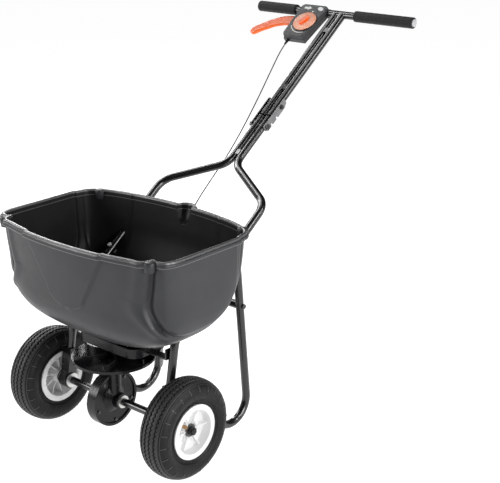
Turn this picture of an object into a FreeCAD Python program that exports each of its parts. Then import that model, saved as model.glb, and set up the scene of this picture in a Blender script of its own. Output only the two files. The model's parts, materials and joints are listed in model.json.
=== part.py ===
"""Push-along broadcast garden spreader, modelled as an assembly of separate pieces.

Working frame (mm): +X right seen from the front, +Y back towards the handle, +Z up,
origin on the floor under the middle of the axle.  Every piece is moved by FRAME_SHIFT
when it is written, which puts the origin under the middle of the whole object.
"""
import FreeCAD, Part
import math
import os

V = FreeCAD.Vector
X_AXIS = V(1, 0, 0)
Y_AXIS = V(0, 1, 0)
Z_AXIS = V(0, 0, 1)
SIDES = {"left": -1, "right": 1}

# ---------------------------------------------------------------- driving dimensions
# wheels and axle
TYRE_OD = 260.0
TYRE_HALF_WIDTH = 42.0
WHEEL_X = 245.0
AXLE_Z = TYRE_OD / 2
AXLE_R = 10.0
AXLE_HALF = 275.0
HUB_INNER, HUB_OUTER = 36.0, 20.0
BUSH_HEAD = 2.0
HUB_CAP_R = 12.0
RIM_R = 66.0
RUN_FIT = 0.05

# tube frame
TUBE_R = 11.0
TUBE_WALL = 1.6
SIDE_X = 185.0
TWIN_X = 12.0
HANDLE_ANGLE = 36.3
HANDLE_Y = 458.0
HANDLE_Z = 661.0
LOWER_BEND_Y = 40.0
UPPER_BEND_S = -98.0
JOIN_S = 5.0
LOWER_TUBE_END_S = 181.0
UPPER_TUBE_START_S = 185.0
PIVOT_S = 150.0
YOKE_TAB_S = 42.0
PLATE_BOLT_S = 226.0
HANDLE_TABS_S = (293.0, 525.0)
TBAR_S = 599.0
TBAR_LEFT = -297.0
TBAR_RIGHT = 253.0
GRIP_R = 16.0
GRIP_LENGTHS = {-1: 145.0, 1: 200.0}

# stand
LEG_X = 168.0
LEG_TOP_Y, LEG_TOP_Z = 275.0, 483.0
LEG_KNEE_Y, LEG_KNEE_Z = 289.0, 448.0
LEG_SLOPE = 0.094
FOOT_BEND_R = 62.0
FOOT_RISE = 30.0
FOOT_RUN = 36.0
CROSS_Z = 342.0
STAND_BOLT_Y = 262.0

# hopper
HOPPER_WALL = 4.0
HOPPER_FLOOR_Z = 303.0
RIM_TOP_Z = 600.0
RIM_SKIRT = 13.0
RIM_HALF_X, RIM_FRONT_Y, RIM_BACK_Y = 302.0, -165.0, 258.0
RIM_BOW, RIM_POWER = 0.22, 10.0
# height, half width, front, back, bow of the ends, corner power of each outside section
HOPPER_SECTIONS = [
    (598.0, 293.0, -155.0, 249.0, 0.22, 9.0),
    (540.0, 290.0, -151.0, 244.0, 0.21, 8.5),
    (490.0, 288.0, -147.0, 236.0, 0.20, 7.5),
    (450.0, 286.0, -144.0, 220.0, 0.17, 6.3),
    (420.0, 283.0, -141.0, 202.0, 0.13, 5.0),
    (395.0, 275.0, -135.0, 183.0, 0.09, 4.0),
    (370.0, 254.0, -121.0, 162.0, 0.05, 3.3),
    (345.0, 212.0, -93.0, 139.0, 0.02, 2.8),
    (322.0, 162.0, -56.0, 115.0, 0.0, 2.5),
    (303.0, 108.0, -24.0, 88.0, 0.0, 2.4),
]
PAD_RAISE = 4.0
POCKET_X, POCKET_Y = 24.0, 236.0
POCKET_R, POCKET_LOW_R, POCKET_DEPTH = 36.0, 16.0, 42.0
OUTLET_HALF_X, OUTLET_Y0, OUTLET_Y1 = 34.0, 20.0, 54.0

# base tray, gate and deflector
TRAY_HALF_X, TRAY_Y0, TRAY_Y1 = 108.0, -30.0, 94.0
TRAY_Z0, TRAY_Z1 = 278.0, 302.9
TRAY_WALL = 3.0
GATE_Z0, GATE_Z1 = 284.0, 287.0
GATE_HALF_X, GATE_Y0, GATE_Y1 = 46.0, 12.0, 118.0
SHIELD_R, SHIELD_Z0 = 124.0, 232.0
SUPPORT_BOLT_Z = 300.0

# drive
CROWN_TEETH, PINION_TEETH = 45, 9
CROWN_R = 55.0
PINION_R = CROWN_R * PINION_TEETH / CROWN_TEETH
FACE_SHARE = 0.25
HOUSING_R = 74.0
HOUSING_X0, HOUSING_SPLIT, HOUSING_X1 = -28.0, -16.0, -2.0
HOUSING_SCREW_R = 60.5
SHAFT_R = 5.0
IMPELLER_R = 108.0
IMPELLER_Z = 252.0
VANES = 6

# control box, dial, trigger lever
BOX_TOP_S, BOX_BOTTOM_S = 610.0, 478.5
BOX_OFF0, BOX_SPLIT, BOX_OFF1 = -9.0, 3.0, 19.0
BOX_WALL = 3.0
DIAL_X, DIAL_S, DIAL_R = -79.0, 536.0, 36.0
LEVER_X, LEVER_S = -104.0, 549.0
LEVER_OFF, LEVER_THICK = -5.0, 12.0
CABLE_R = 1.6
CABLE_X = -113.0
CABLE_OFF = 0.0
BOOT_LENGTH = 20.0

# the whole object reaches from the hopper's rim to the handlebar's grips
HANDLE_ALONG = (math.cos(math.radians(HANDLE_ANGLE)), math.sin(math.radians(HANDLE_ANGLE)))
OBJECT_FRONT_Y = RIM_FRONT_Y
OBJECT_BACK_Y = HANDLE_Y + TBAR_S * HANDLE_ALONG[0] + GRIP_R
FRAME_SHIFT = V(0, -(OBJECT_FRONT_Y + OBJECT_BACK_Y) / 2, 0)


# ---------------------------------------------------------------- helpers
def write(node, *solids):
    """Write one node: one solid, or a group of separate solids."""
    shape = solids[0] if len(solids) == 1 else Part.makeCompound(list(solids))
    moved = shape.copy()
    moved.translate(FRAME_SHIFT)
    for solid in moved.Solids:
        if not solid.isValid():
            print("INVALID", node)
    print(node, len(moved.Solids), round(moved.Volume / 1000, 2), "cm3")
    moved.exportStep("parts/%s.step" % node)


def rod(start, direction, radius, length):
    return Part.makeCylinder(radius, length, start, direction)


def ring(start, direction, outer, inner, length):
    return rod(start, direction, outer, length).cut(rod(start, direction, inner, length))


def block(x0, x1, y0, y1, z0, z1):
    return Part.makeBox(x1 - x0, y1 - y0, z1 - z0, V(x0, y0, z0))


def prism(points, direction):
    """Extrude a closed polygon along a vector."""
    face = Part.Face(Part.makePolygon(list(points) + [points[0]]))
    return face.extrude(direction)


def turned(profile, axis_point, axis):
    """Revolve a closed polygon of points right round an axis."""
    face = Part.Face(Part.makePolygon(list(profile) + [profile[0]]))
    return face.revolve(axis_point, axis, 360)


def tidy(shape):
    clean = shape.removeSplitter()
    return clean.Solids[0] if len(clean.Solids) == 1 else clean


def bent_wire(points, radii):
    """Straight runs joined by tangent arcs; radii has one value per inner point."""
    edges = []
    last = points[0]
    for here, before, after, radius in zip(points[1:-1], points[:-2], points[2:], radii):
        back = (before - here).normalize()
        on = (after - here).normalize()
        half = back.getAngle(on) / 2
        reach = radius / math.tan(half)
        middle = (back + on).normalize()
        centre = here + middle * (radius / math.sin(half))
        start, end = here + back * reach, here + on * reach
        edges.append(Part.LineSegment(last, start).toShape())
        edges.append(Part.Arc(start, centre - middle * radius, end).toShape())
        last = end
    edges.append(Part.LineSegment(last, points[-1]).toShape())
    return Part.Wire(edges)


def sweep(path, points, radius):
    circle = Part.Circle(points[0], (points[1] - points[0]).normalize(), radius)
    profile = Part.Wire([circle.toShape()])
    return path.makePipeShell([profile], True, False)


def tube(points, radii, wall=TUBE_WALL):
    path = bent_wire(points, radii)
    outer = sweep(path, points, TUBE_R)
    return outer.cut(sweep(path, points, TUBE_R - wall)), outer


def hexagon(centre, direction, flat_r, length):
    """Hexagonal prism, as a bolt head or nut."""
    corner_r = flat_r / math.cos(math.radians(30))
    points = [V(corner_r * math.cos(math.radians(a)), corner_r * math.sin(math.radians(a)), 0)
              for a in range(0, 360, 60)]
    body = prism(points, V(0, 0, length))
    body.Placement = FreeCAD.Placement(centre, FreeCAD.Rotation(Z_AXIS, direction))
    return body


def bolt(start, direction, radius, grip):
    """Hex bolt with nut; start is under the head, grip is the clamped length."""
    direction = V(direction).normalize()
    head = hexagon(start - direction * radius * 1.3, direction, radius * 1.6, radius * 1.3)
    shank = rod(start - direction * 0.5, direction, radius, grip + radius * 2)
    nut = hexagon(start + direction * grip, direction, radius * 1.6, radius * 1.4)
    return tidy(head.fuse(shank).fuse(nut))


def drilled(shape, start, direction, radius, length):
    return shape.cut(rod(start, direction, radius, length))


# ---------------------------------------------------------------- the sloping handle plane
ROLL = FreeCAD.Rotation(X_AXIS, HANDLE_ANGLE)
HANDLE = FreeCAD.Placement(V(0, HANDLE_Y, HANDLE_Z), ROLL)
ALONG = ROLL.multVec(Y_AXIS)
ACROSS = ROLL.multVec(Z_AXIS)


def on_handle(x, s, off=0.0):
    """Point at x, distance s up the handle and off above its middle plane."""
    return HANDLE.multVec(V(x, s, off))


def to_handle(shape):
    moved = shape.copy()
    moved.Placement = HANDLE.multiply(moved.Placement)
    return moved


# ---------------------------------------------------------------- frame
def lower_bend():
    drop = (LOWER_BEND_Y - HANDLE_Y) * math.tan(math.radians(HANDLE_ANGLE))
    return LOWER_BEND_Y, HANDLE_Z + drop


BEND_Y, BEND_Z = lower_bend()
LEAN = math.atan2(BEND_Y, BEND_Z - AXLE_Z)
POST = V(0, math.sin(LEAN), math.cos(LEAN))


def side_tube(sign):
    """From the axle bracket up through the hopper, round to the twin handle tubes."""
    foot = V(sign * SIDE_X, 0, AXLE_Z) + POST * 26
    points = [foot, V(sign * SIDE_X, BEND_Y, BEND_Z), on_handle(sign * SIDE_X, UPPER_BEND_S),
              on_handle(sign * TWIN_X, JOIN_S), on_handle(sign * TWIN_X, LOWER_TUBE_END_S)]
    return tube(points, [110.0, 55.0, 50.0])


def axle_bracket(sign):
    """Stamped channel round the foot of the side tube, with a round boss for the axle."""
    channel = block(-15, 15, -13.5, 14, 16, 88).cut(block(-11.6, 11.6, -11.3, 20, 24, 95))
    boss = rod(V(-13, 0, 0), X_AXIS, 23, 26)
    body = channel.fuse(boss).cut(rod(V(-20, 0, 0), X_AXIS, 16, 40))
    body = drilled(body, V(-20, 0, 70), X_AXIS, 4.1, 40)
    body = tidy(body)
    turn = FreeCAD.Rotation(X_AXIS, -math.degrees(LEAN))
    body.Placement = FreeCAD.Placement(V(sign * SIDE_X, 0, AXLE_Z), turn)
    return body


def axle_bush(sign):
    """Flanged bearing in the bracket boss; the flange faces the middle."""
    start = V(sign * (SIDE_X - 20), 0, AXLE_Z)
    out = V(sign, 0, 0)
    body = rod(start, out, 20, 4.9).fuse(rod(start, out, 15.95, 33))
    return tidy(drilled(body, start, out, AXLE_R + RUN_FIT, 40))


def bracket_bolt(sign):
    start = V(sign * (SIDE_X - 15), 0, AXLE_Z) + POST * 70
    return bolt(start, V(sign, 0, 0), 4.0, 30.0)


def leg_y(z):
    return LEG_KNEE_Y + LEG_SLOPE * (LEG_KNEE_Z - z)


def foot_points():
    """Corner and end of the leg's curled foot, which rests on the floor at its lowest."""
    rise = math.radians(FOOT_RISE)
    centre_z = FOOT_BEND_R + TUBE_R
    centre_y = leg_y(centre_z) - FOOT_BEND_R * math.sqrt(1 + LEG_SLOPE ** 2)
    touch = (centre_y - FOOT_BEND_R * math.sin(rise), centre_z - FOOT_BEND_R * math.cos(rise))
    gap = leg_y(touch[1]) - touch[0]
    back = gap / (math.cos(rise) - LEG_SLOPE * math.sin(rise))
    corner = (touch[0] + back * math.cos(rise), touch[1] - back * math.sin(rise))
    end = (touch[0] - FOOT_RUN * math.cos(rise), touch[1] + FOOT_RUN * math.sin(rise))
    return corner, end


def stand_leg(sign):
    """Bent leg with a flattened top, bolted to the inside of the side tube."""
    x = sign * LEG_X
    corner, end = foot_points()
    points = [V(x, LEG_TOP_Y, LEG_TOP_Z), V(x, LEG_KNEE_Y, LEG_KNEE_Z),
              V(x, corner[0], corner[1]), V(x, end[0], end[1])]
    body, outer = tube(points, [90.0, FOOT_BEND_R])
    bolt_z = stand_bolt_z()
    inner_x = sign * (SIDE_X - TUBE_R - 0.1)
    thick = -sign * 5.0
    low, high = V(inner_x, LEG_TOP_Y, LEG_TOP_Z - 14), V(inner_x, STAND_BOLT_Y, bolt_z)
    along = (high - low).normalize()
    wide = along.cross(X_AXIS) * TUBE_R
    strip = prism([low + wide, high + wide, high - wide, low - wide], V(thick, 0, 0))
    tab = strip.fuse(rod(high, V(thick, 0, 0), TUBE_R, 5.0))
    inside = sweep(bent_wire(points, [90.0, FOOT_BEND_R]), points, TUBE_R - TUBE_WALL)
    body = body.fuse(tab.cut(inside))
    body = drilled(body, V(sign * 200, STAND_BOLT_Y, bolt_z), V(-sign, 0, 0), 4.1, 60)
    body = drilled(body, V(sign * 200, leg_y(CROSS_Z), CROSS_Z), V(-sign, 0, 0), 4.1, 60)
    return tidy(body), outer


def stand_bolt_z():
    return HANDLE_Z + (STAND_BOLT_Y - HANDLE_Y) * math.tan(math.radians(HANDLE_ANGLE))


def stand_cross_tube(left_outer, right_outer):
    y, half = leg_y(CROSS_Z), LEG_X - 2
    body = rod(V(-half, y, CROSS_Z), X_AXIS, TUBE_R, 2 * half)
    body = body.cut(rod(V(-half + 34, y, CROSS_Z), X_AXIS, TUBE_R - TUBE_WALL, 2 * half - 68))
    body = body.cut(left_outer).cut(right_outer)
    body = max(body.Solids, key=lambda s: s.Volume)
    for sign in SIDES.values():
        body = drilled(body, V(sign * (half + 1), y, CROSS_Z), V(-sign, 0, 0), 4.0, 30)
    return body


def stand_end_bolt(sign):
    start = V(sign * (LEG_X + TUBE_R), leg_y(CROSS_Z), CROSS_Z)
    inward = V(-sign, 0, 0)
    head = hexagon(start - inward * 5, inward, 6.5, 5)
    return tidy(head.fuse(rod(start - inward * 1, inward, 3.95, 38)))


def stand_top_bolt(sign):
    start = V(sign * (SIDE_X + TUBE_R), STAND_BOLT_Y, stand_bolt_z())
    return bolt(start, V(-sign, 0, 0), 4.0, 27.1)


def foot_plug(sign):
    """Plastic plug in the open end of the foot."""
    corner, end = foot_points()
    tip = V(sign * LEG_X, end[0], end[1])
    out = V(0, end[0] - corner[0], end[1] - corner[1]).normalize()
    body = rod(tip, out, TUBE_R, 4).fuse(rod(tip - out * 14, out, TUBE_R - TUBE_WALL, 15))
    return tidy(body)


def stand_brace(sign):
    """Flat bar from the back of the base tray to the stand's cross tube."""
    x0, width = sign * 64.0 - 8, 16.0
    y, thick = leg_y(CROSS_Z), 4.0
    under = CROSS_Z - TUBE_R
    outline = [V(x0, TRAY_Y1, TRAY_Z0 + 12), V(x0, TRAY_Y1 + thick, TRAY_Z0 + 12),
               V(x0, TRAY_Y1 + thick, TRAY_Z1 - 9), V(x0, y - 14, under - thick),
               V(x0, y + 12, under - thick), V(x0, y + 12, under),
               V(x0, y - 16, under), V(x0, TRAY_Y1, TRAY_Z1 - 4.5)]
    return prism(outline, V(width, 0, 0))


# ---------------------------------------------------------------- hopper
def section_points(half_x, front, back, bow, power, inset):
    """Rounded oblong whose front and back edges bow outwards in the middle."""
    middle, reach = (front + back) / 2, (back - front) / 2 - inset
    points = []
    for k in range(36):
        angle = 2 * math.pi * (k + 0.5) / 36
        c, s = math.cos(angle), math.sin(angle)
        r = (abs(c) ** power + abs(s) ** power) ** (-1 / power)
        across, along = r * c, r * s
        points.append(((half_x - inset) * across, middle + reach * along * (1 - bow * across ** 2)))
    return points


def section_wire(z, half_x, front, back, bow, power, inset=0.0):
    """One smooth closed outline, handed on as twelve short edges."""
    curve = Part.BSplineCurve()
    points = [V(x, y, z) for x, y in section_points(half_x, front, back, bow, power, inset)]
    curve.interpolate(Points=points, PeriodicFlag=True)
    knots = curve.getKnots()
    return Part.Wire([curve.toShape(knots[k], knots[k + 3]) for k in range(0, 36, 3)])


def hopper_loft(inset, floor_lift=0.0, top_lift=0.0):
    wires = []
    for index, (z, half_x, front, back, bow, power) in enumerate(HOPPER_SECTIONS):
        level = z
        if index == 0:
            level = z + top_lift
        if index == len(HOPPER_SECTIONS) - 1:
            level = z + floor_lift
        wires.append(section_wire(level, half_x, front, back, bow, power, inset))
    return Part.makeLoft(wires, True, False)


def side_pad_outline(x):
    """D-shaped panel: straight top, round bottom."""
    points = [V(x, -105, 574), V(x, -105, 494)]
    for k in range(1, 16):
        angle = math.pi * k / 16
        c, s = math.cos(angle), math.sin(angle)
        y = 24 - 129 * math.copysign(abs(c) ** 0.8, c)
        points.append(V(x, y, 494 - 104 * s ** 0.9))
    return points + [V(x, 153, 494), V(x, 153, 574)]


def front_pad_outline(y):
    """Tapering U on the front wall."""
    points = [V(-134, y, 586), V(-62, y, 462)]
    for k in range(1, 8):
        angle = math.pi * k / 8
        points.append(V(-60 * math.cos(angle), y, 458 - 30 * math.sin(angle)))
    return points + [V(62, y, 462), V(134, y, 586)]


def hopper_bore(sign, radius):
    """The line of the side tube where it passes through the hopper."""
    low = V(sign * SIDE_X, 0, AXLE_Z) + POST * 120
    points = [low, V(sign * SIDE_X, BEND_Y, BEND_Z), on_handle(sign * SIDE_X, -200)]
    return sweep(bent_wire(points, [110.0]), points, radius)


def rim_slab(z, height, inset):
    """Flat slab of the rim's outline, with the round bump over the pouring pocket."""
    outline = section_wire(z, RIM_HALF_X, RIM_FRONT_Y, RIM_BACK_Y, RIM_BOW, RIM_POWER, inset)
    slab = Part.Face(outline).extrude(V(0, 0, height))
    return slab.fuse(rod(V(POCKET_X, POCKET_Y, z), Z_AXIS, POCKET_R + 6 - inset, height))


def pocket(inset, lift):
    """Spoon-shaped pocket in the back wall, open at the top."""
    low = RIM_TOP_Z - POCKET_DEPTH
    cone = Part.makeCone(POCKET_LOW_R - inset, POCKET_R - inset, POCKET_DEPTH + lift,
                         V(POCKET_X, POCKET_Y, low))
    return cone.fuse(Part.makeSphere(POCKET_LOW_R - inset, V(POCKET_X, POCKET_Y, low)))


def hopper(outer_tubes):
    outer = hopper_loft(0.0)
    raised = hopper_loft(-PAD_RAISE)
    for sign in SIDES.values():
        column = prism(side_pad_outline(sign * 200.0), V(sign * 120, 0, 0))
        outer = outer.fuse(raised.common(column))
    front = prism(front_pad_outline(-100.0), V(0, -90, 0))
    outer = outer.fuse(raised.common(front))
    outer = outer.fuse(pocket(0, -2))
    rim = rim_slab(RIM_TOP_Z - RIM_SKIRT, RIM_SKIRT, 0)
    under = rim_slab(RIM_TOP_Z - RIM_SKIRT, RIM_SKIRT - 3.5, 2.6)
    body = outer.fuse(rim.cut(under))
    inside = hopper_loft(HOPPER_WALL, HOPPER_WALL, 4.0)
    inside = inside.fuse(pocket(HOPPER_WALL - 0.6, 2))
    body = body.cut(inside)
    for sign in SIDES.values():
        collar = rod(on_handle(sign * SIDE_X, -330), ALONG, 15.0, 60)
        lip = rod(V(sign * SIDE_X, BEND_Y, BEND_Z) - POST * 36, POST, 14.5, 22)
        body = body.fuse(collar.fuse(lip))
    for outline in outer_tubes:
        body = body.cut(outline)
    body = body.cut(block(-OUTLET_HALF_X, OUTLET_HALF_X, OUTLET_Y0, OUTLET_Y1, 295, 312))
    body = drilled(body, V(0, 0, 290), Z_AXIS, SHAFT_R + 0.6, 40)
    return tidy(body)


def weld_tab(s):
    """Small block lying in the groove between the twin tubes."""
    body = block(-6, 6, s - 8, s + 8, 3, 9.5)
    for sign in SIDES.values():
        body = body.cut(rod(V(sign * TWIN_X, s - 10, 0), Y_AXIS, TUBE_R + 0.02, 20))
    return to_handle(body)


def hopper_tube_bolt(sign):
    """Bolt through the side tube where it runs inside the hopper."""
    return bolt(on_handle(sign * SIDE_X, -348, TUBE_R), ACROSS * -1, 3.5, 2 * TUBE_R)


# ---------------------------------------------------------------- base tray, gate, deflector
def rounded_plate(x0, x1, y0, y1, z0, z1, radius):
    body = block(x0, x1, y0, y1, z0, z1)
    edges = [e for e in body.Edges if abs(e.tangentAt(e.FirstParameter).z) > 0.9]
    return body.makeFillet(radius, edges)


def base_tray():
    body = rounded_plate(-TRAY_HALF_X, TRAY_HALF_X, TRAY_Y0, TRAY_Y1, TRAY_Z0, TRAY_Z1, 32)
    w = TRAY_WALL
    body = body.cut(rounded_plate(-TRAY_HALF_X + w, TRAY_HALF_X - w, TRAY_Y0 + w, TRAY_Y1 - w,
                                  TRAY_Z0 + w, TRAY_Z1 + 1, 29))
    for sign in SIDES.values():
        x = sign * (GATE_HALF_X + 3.5)
        body = body.fuse(block(x - 3, x + 3, 8, TRAY_Y1 - 1, TRAY_Z0 + 1, GATE_Z1 + 3))
    body = body.cut(block(-GATE_HALF_X - 0.5, GATE_HALF_X + 0.5, GATE_Y0 - 8, TRAY_Y1 + 1,
                          GATE_Z0 - 0.4, GATE_Z1 + 0.4))
    body = body.cut(block(-OUTLET_HALF_X, OUTLET_HALF_X, OUTLET_Y0, OUTLET_Y1, 270, 284))
    return tidy(drilled(body, V(0, 0, 270), Z_AXIS, SHAFT_R + 0.6, 40))


def shutoff_gate():
    """Sliding plate that covers the outlet, with an upright ear for the cable."""
    plate = block(-GATE_HALF_X, GATE_HALF_X, GATE_Y0, GATE_Y1, GATE_Z0, GATE_Z1)
    ear = block(-23, -7, GATE_Y1 - 4, GATE_Y1, GATE_Z1 - 1, GATE_Z1 + 16)
    return tidy(plate.fuse(ear))


def sector(inner, outer, z0, z1, start, sweep_angle):
    body = Part.makeCylinder(outer, z1 - z0, V(0, 0, z0), Z_AXIS, sweep_angle)
    body = body.cut(Part.makeCylinder(inner, z1 - z0, V(0, 0, z0), Z_AXIS, 360))
    body.rotate(V(0, 0, 0), Z_AXIS, start)
    return body


def rear_shield():
    """Curved wall behind the impeller, hung from the base tray."""
    wall = sector(SHIELD_R, SHIELD_R + 3, SHIELD_Z0, TRAY_Z0 + 3, 22, 136)
    flange = sector(70, SHIELD_R + 3, TRAY_Z0, TRAY_Z0 + 3, 22, 136)
    tray = rounded_plate(-TRAY_HALF_X, TRAY_HALF_X, TRAY_Y0, TRAY_Y1, TRAY_Z0 - 1, TRAY_Z1, 32)
    body = wall.fuse(flange).cut(tray)
    return tidy(max(body.Solids, key=lambda s: s.Volume))


def support_bar(sign):
    """Strap from the base tray out to the side tube."""
    x_in, x_out = sign * TRAY_HALF_X, sign * (SIDE_X - TUBE_R - 0.2)
    y = BEND_Y / 2 + 5
    low, high = sorted((x_in, x_out))
    body = block(low, high, y - 10, y + 14, 284, 288)
    end_low, end_high = sorted((x_out, x_out - sign * 4))
    body = body.fuse(block(end_low, end_high, y - 10, y + 22, 284, 312))
    return tidy(drilled(body, support_bolt_place(sign * 200), V(-sign, 0, 0), 3.1, 60))


def support_bolt_place(x):
    return V(x, (SUPPORT_BOLT_Z - AXLE_Z) * math.tan(LEAN), SUPPORT_BOLT_Z)


def support_bolt(sign):
    """Screw from the inside of the strap into the side tube."""
    start = support_bolt_place(sign * (SIDE_X - TUBE_R - 4.2))
    head = hexagon(start - V(sign * 4, 0, 0), V(sign, 0, 0), 5, 4)
    return tidy(head.fuse(rod(start - V(sign, 0, 0), V(sign, 0, 0), 3.0, 20)))


# ---------------------------------------------------------------- gears and impeller
def bevel_gear(teeth, pitch_r, apex_h, back, bore):
    """Straight bevel gear on +Z with its cone's apex at the origin."""
    cone = math.hypot(pitch_r, apex_h)
    module = 2 * pitch_r / teeth
    add, ded = 0.75 * module, 1.1 * module
    e_r, e_z = apex_h / cone, -pitch_r / cone

    def tooth_end(scale):
        corners = []
        for depth, half in ((-ded - 0.3, 0.84), (add, 0.40)):
            r = pitch_r * scale + e_r * depth * scale
            z = apex_h * scale + e_z * depth * scale
            corners += [(r, half * module * scale, z), (r, -half * module * scale, z)]
        order = [corners[0], corners[2], corners[3], corners[1]]
        points = [V(*corner) for corner in order]
        return Part.makePolygon(points + [points[0]])

    inner = 1 - FACE_SHARE
    tooth = Part.makeLoft([tooth_end(1.0), tooth_end(inner)], True, True)
    root_out = (pitch_r - e_r * ded, apex_h - e_z * ded)
    root_in = (inner * root_out[0], inner * root_out[1])
    profile = [V(bore, 0, root_in[1]), V(root_in[0], 0, root_in[1]),
               V(root_out[0], 0, root_out[1]), V(root_out[0], 0, root_out[1] + back),
               V(bore, 0, root_out[1] + back)]
    body = turned(profile, V(0, 0, 0), Z_AXIS)
    all_teeth = []
    for k in range(teeth):
        copy = tooth.copy()
        copy.rotate(V(0, 0, 0), Z_AXIS, 360.0 * k / teeth)
        all_teeth.append(copy)
    return tidy(body.multiFuse(all_teeth))


def crown_gear():
    gear = bevel_gear(CROWN_TEETH, CROWN_R, PINION_R, 4.5, AXLE_R + RUN_FIT)
    gear.rotate(V(0, 0, 0), Z_AXIS, 180.0 / CROWN_TEETH)
    gear.rotate(V(0, 0, 0), Y_AXIS, -90)
    gear.translate(V(0, 0, AXLE_Z))
    hub = ring(V(-24.4, 0, AXLE_Z), X_AXIS, 17, AXLE_R + RUN_FIT, 14)
    return tidy(gear.fuse(hub))


def pinion():
    gear = bevel_gear(PINION_TEETH, PINION_R, CROWN_R, 2.0, SHAFT_R)
    gear.rotate(V(0, 0, 0), Z_AXIS, 180)
    gear.translate(V(0, 0, AXLE_Z))
    return gear


def x_ring(x0, x1, outer, inner):
    return ring(V(x0, 0, AXLE_Z), X_AXIS, outer, inner, x1 - x0)


def housing_left():
    cup = x_ring(HOUSING_X0, HOUSING_SPLIT - 0.05, HOUSING_R, 14)
    cup = cup.cut(rod(V(HOUSING_X0 + 3, 0, AXLE_Z), X_AXIS, HOUSING_R - 3, 20))
    boss = x_ring(HOUSING_X0 - 12, HOUSING_X0 + 1, 20, 14)
    ribs = block(HOUSING_X0 - 3, HOUSING_X0 + 1, -2, 2, AXLE_Z + 17, AXLE_Z + HOUSING_R - 2)
    body = cup.fuse(boss)
    for k in range(6):
        rib = ribs.copy()
        rib.rotate(V(0, 0, AXLE_Z), X_AXIS, 30 + 60 * k)
        body = body.fuse(rib)
    return tidy(body)


def housing_right():
    """Half with the dished face, the axle boss and the upright sleeve of the shaft."""
    cup = x_ring(HOUSING_SPLIT + 0.05, HOUSING_X1 + 4, HOUSING_R, 14)
    cup = cup.cut(rod(V(HOUSING_SPLIT - 1, 0, AXLE_Z), X_AXIS, HOUSING_R - 3,
                      HOUSING_X1 - HOUSING_SPLIT - 2))
    recess = rod(V(HOUSING_X1, 0, AXLE_Z), X_AXIS, HOUSING_R - 7, 10)
    cup = cup.cut(recess)
    cone = Part.makeCone(40, 21, 12, V(HOUSING_X1 - 1, 0, AXLE_Z), X_AXIS)
    boss = rod(V(HOUSING_X1 - 1, 0, AXLE_Z), X_AXIS, 21, 28)
    sleeve = rod(V(0, 0, AXLE_Z), Z_AXIS, 17, 78)
    body = cup.fuse(cone).fuse(boss).fuse(sleeve)
    body = body.cut(rod(V(-60, 0, AXLE_Z), X_AXIS, 14, 120))
    body = body.cut(rod(V(0, 0, AXLE_Z + 18), Z_AXIS, 14, 80))
    body = body.cut(rod(V(HOUSING_SPLIT - 1, 0, AXLE_Z), X_AXIS, CROWN_R + 4, 11.5))
    body = body.cut(block(-60, HOUSING_SPLIT + 0.05, -80, 80, 0, 260))
    for place in housing_screw_places():
        body = drilled(body, place - X_AXIS * 2, X_AXIS, 2.0, 3)
    return tidy(max(body.Solids, key=lambda s: s.Volume))


def housing_bush(side):
    if side == "left":
        body = x_ring(HOUSING_X0 - 12, HOUSING_X0 + 2.9, 14, AXLE_R + RUN_FIT)
        return tidy(body.fuse(x_ring(HOUSING_X0 - 16, HOUSING_X0 - 12, 17, AXLE_R + RUN_FIT)))
    body = x_ring(4, HOUSING_X1 + 27, 14, AXLE_R + RUN_FIT)
    return tidy(body.fuse(x_ring(HOUSING_X1 + 27, HOUSING_X1 + 33, 17, AXLE_R + RUN_FIT)))


def shaft_bush():
    return ring(V(0, 0, AXLE_Z + 61), Z_AXIS, 14, SHAFT_R + RUN_FIT, 18)


def housing_screw_places():
    places = []
    for k in range(5):
        angle = math.radians(90 + 36 + 72 * k)
        places.append(V(HOUSING_X1, HOUSING_SCREW_R * math.cos(angle),
                        AXLE_Z + HOUSING_SCREW_R * math.sin(angle)))
    return places


def housing_screws():
    """Screws in the dished face of the gear housing."""
    screws = []
    for place in housing_screw_places():
        head, shank = rod(place, X_AXIS, 4.5, 3), rod(place - X_AXIS * 2, X_AXIS, 2, 3)
        screws.append(tidy(head.fuse(shank)))
    return screws


def impeller():
    """Spinner disc with a rim lip and curved vanes."""
    z = IMPELLER_Z
    disc = ring(V(0, 0, z), Z_AXIS, IMPELLER_R, SHAFT_R, 3)
    lip = ring(V(0, 0, z - 4), Z_AXIS, IMPELLER_R, IMPELLER_R - 3, 7)
    hub = ring(V(0, 0, z - 12), Z_AXIS, 15, SHAFT_R, 32)
    body = disc.fuse(lip).fuse(hub)
    for k in range(VANES):
        vane = ring(V(60, -38, z + 2), Z_AXIS, 62.5, 60, 15)
        vane = vane.common(block(12, IMPELLER_R - 4, 0, 60, z, z + 20))
        vane.rotate(V(0, 0, 0), Z_AXIS, 360 / VANES * k)
        body = body.fuse(vane.common(rod(V(0, 0, z), Z_AXIS, IMPELLER_R - 3, 30)))
    return tidy(body)


def impeller_shaft():
    return rod(V(0, 0, AXLE_Z + 38), Z_AXIS, SHAFT_R - 0.02, 165)


def agitator():
    """Stirring arms on top of the shaft, inside the hopper."""
    z = AXLE_Z + 192
    hub = ring(V(0, 0, z - 8), Z_AXIS, 10, SHAFT_R, 16)
    body = hub
    for sign in SIDES.values():
        arm = rod(V(sign * 7, 0, z), V(sign, 0, 0), 3, 24)
        tip = rod(V(sign * 29, 0, z - 5), Z_AXIS, 3, 26)
        body = body.fuse(arm).fuse(tip)
    return tidy(body)


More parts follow.
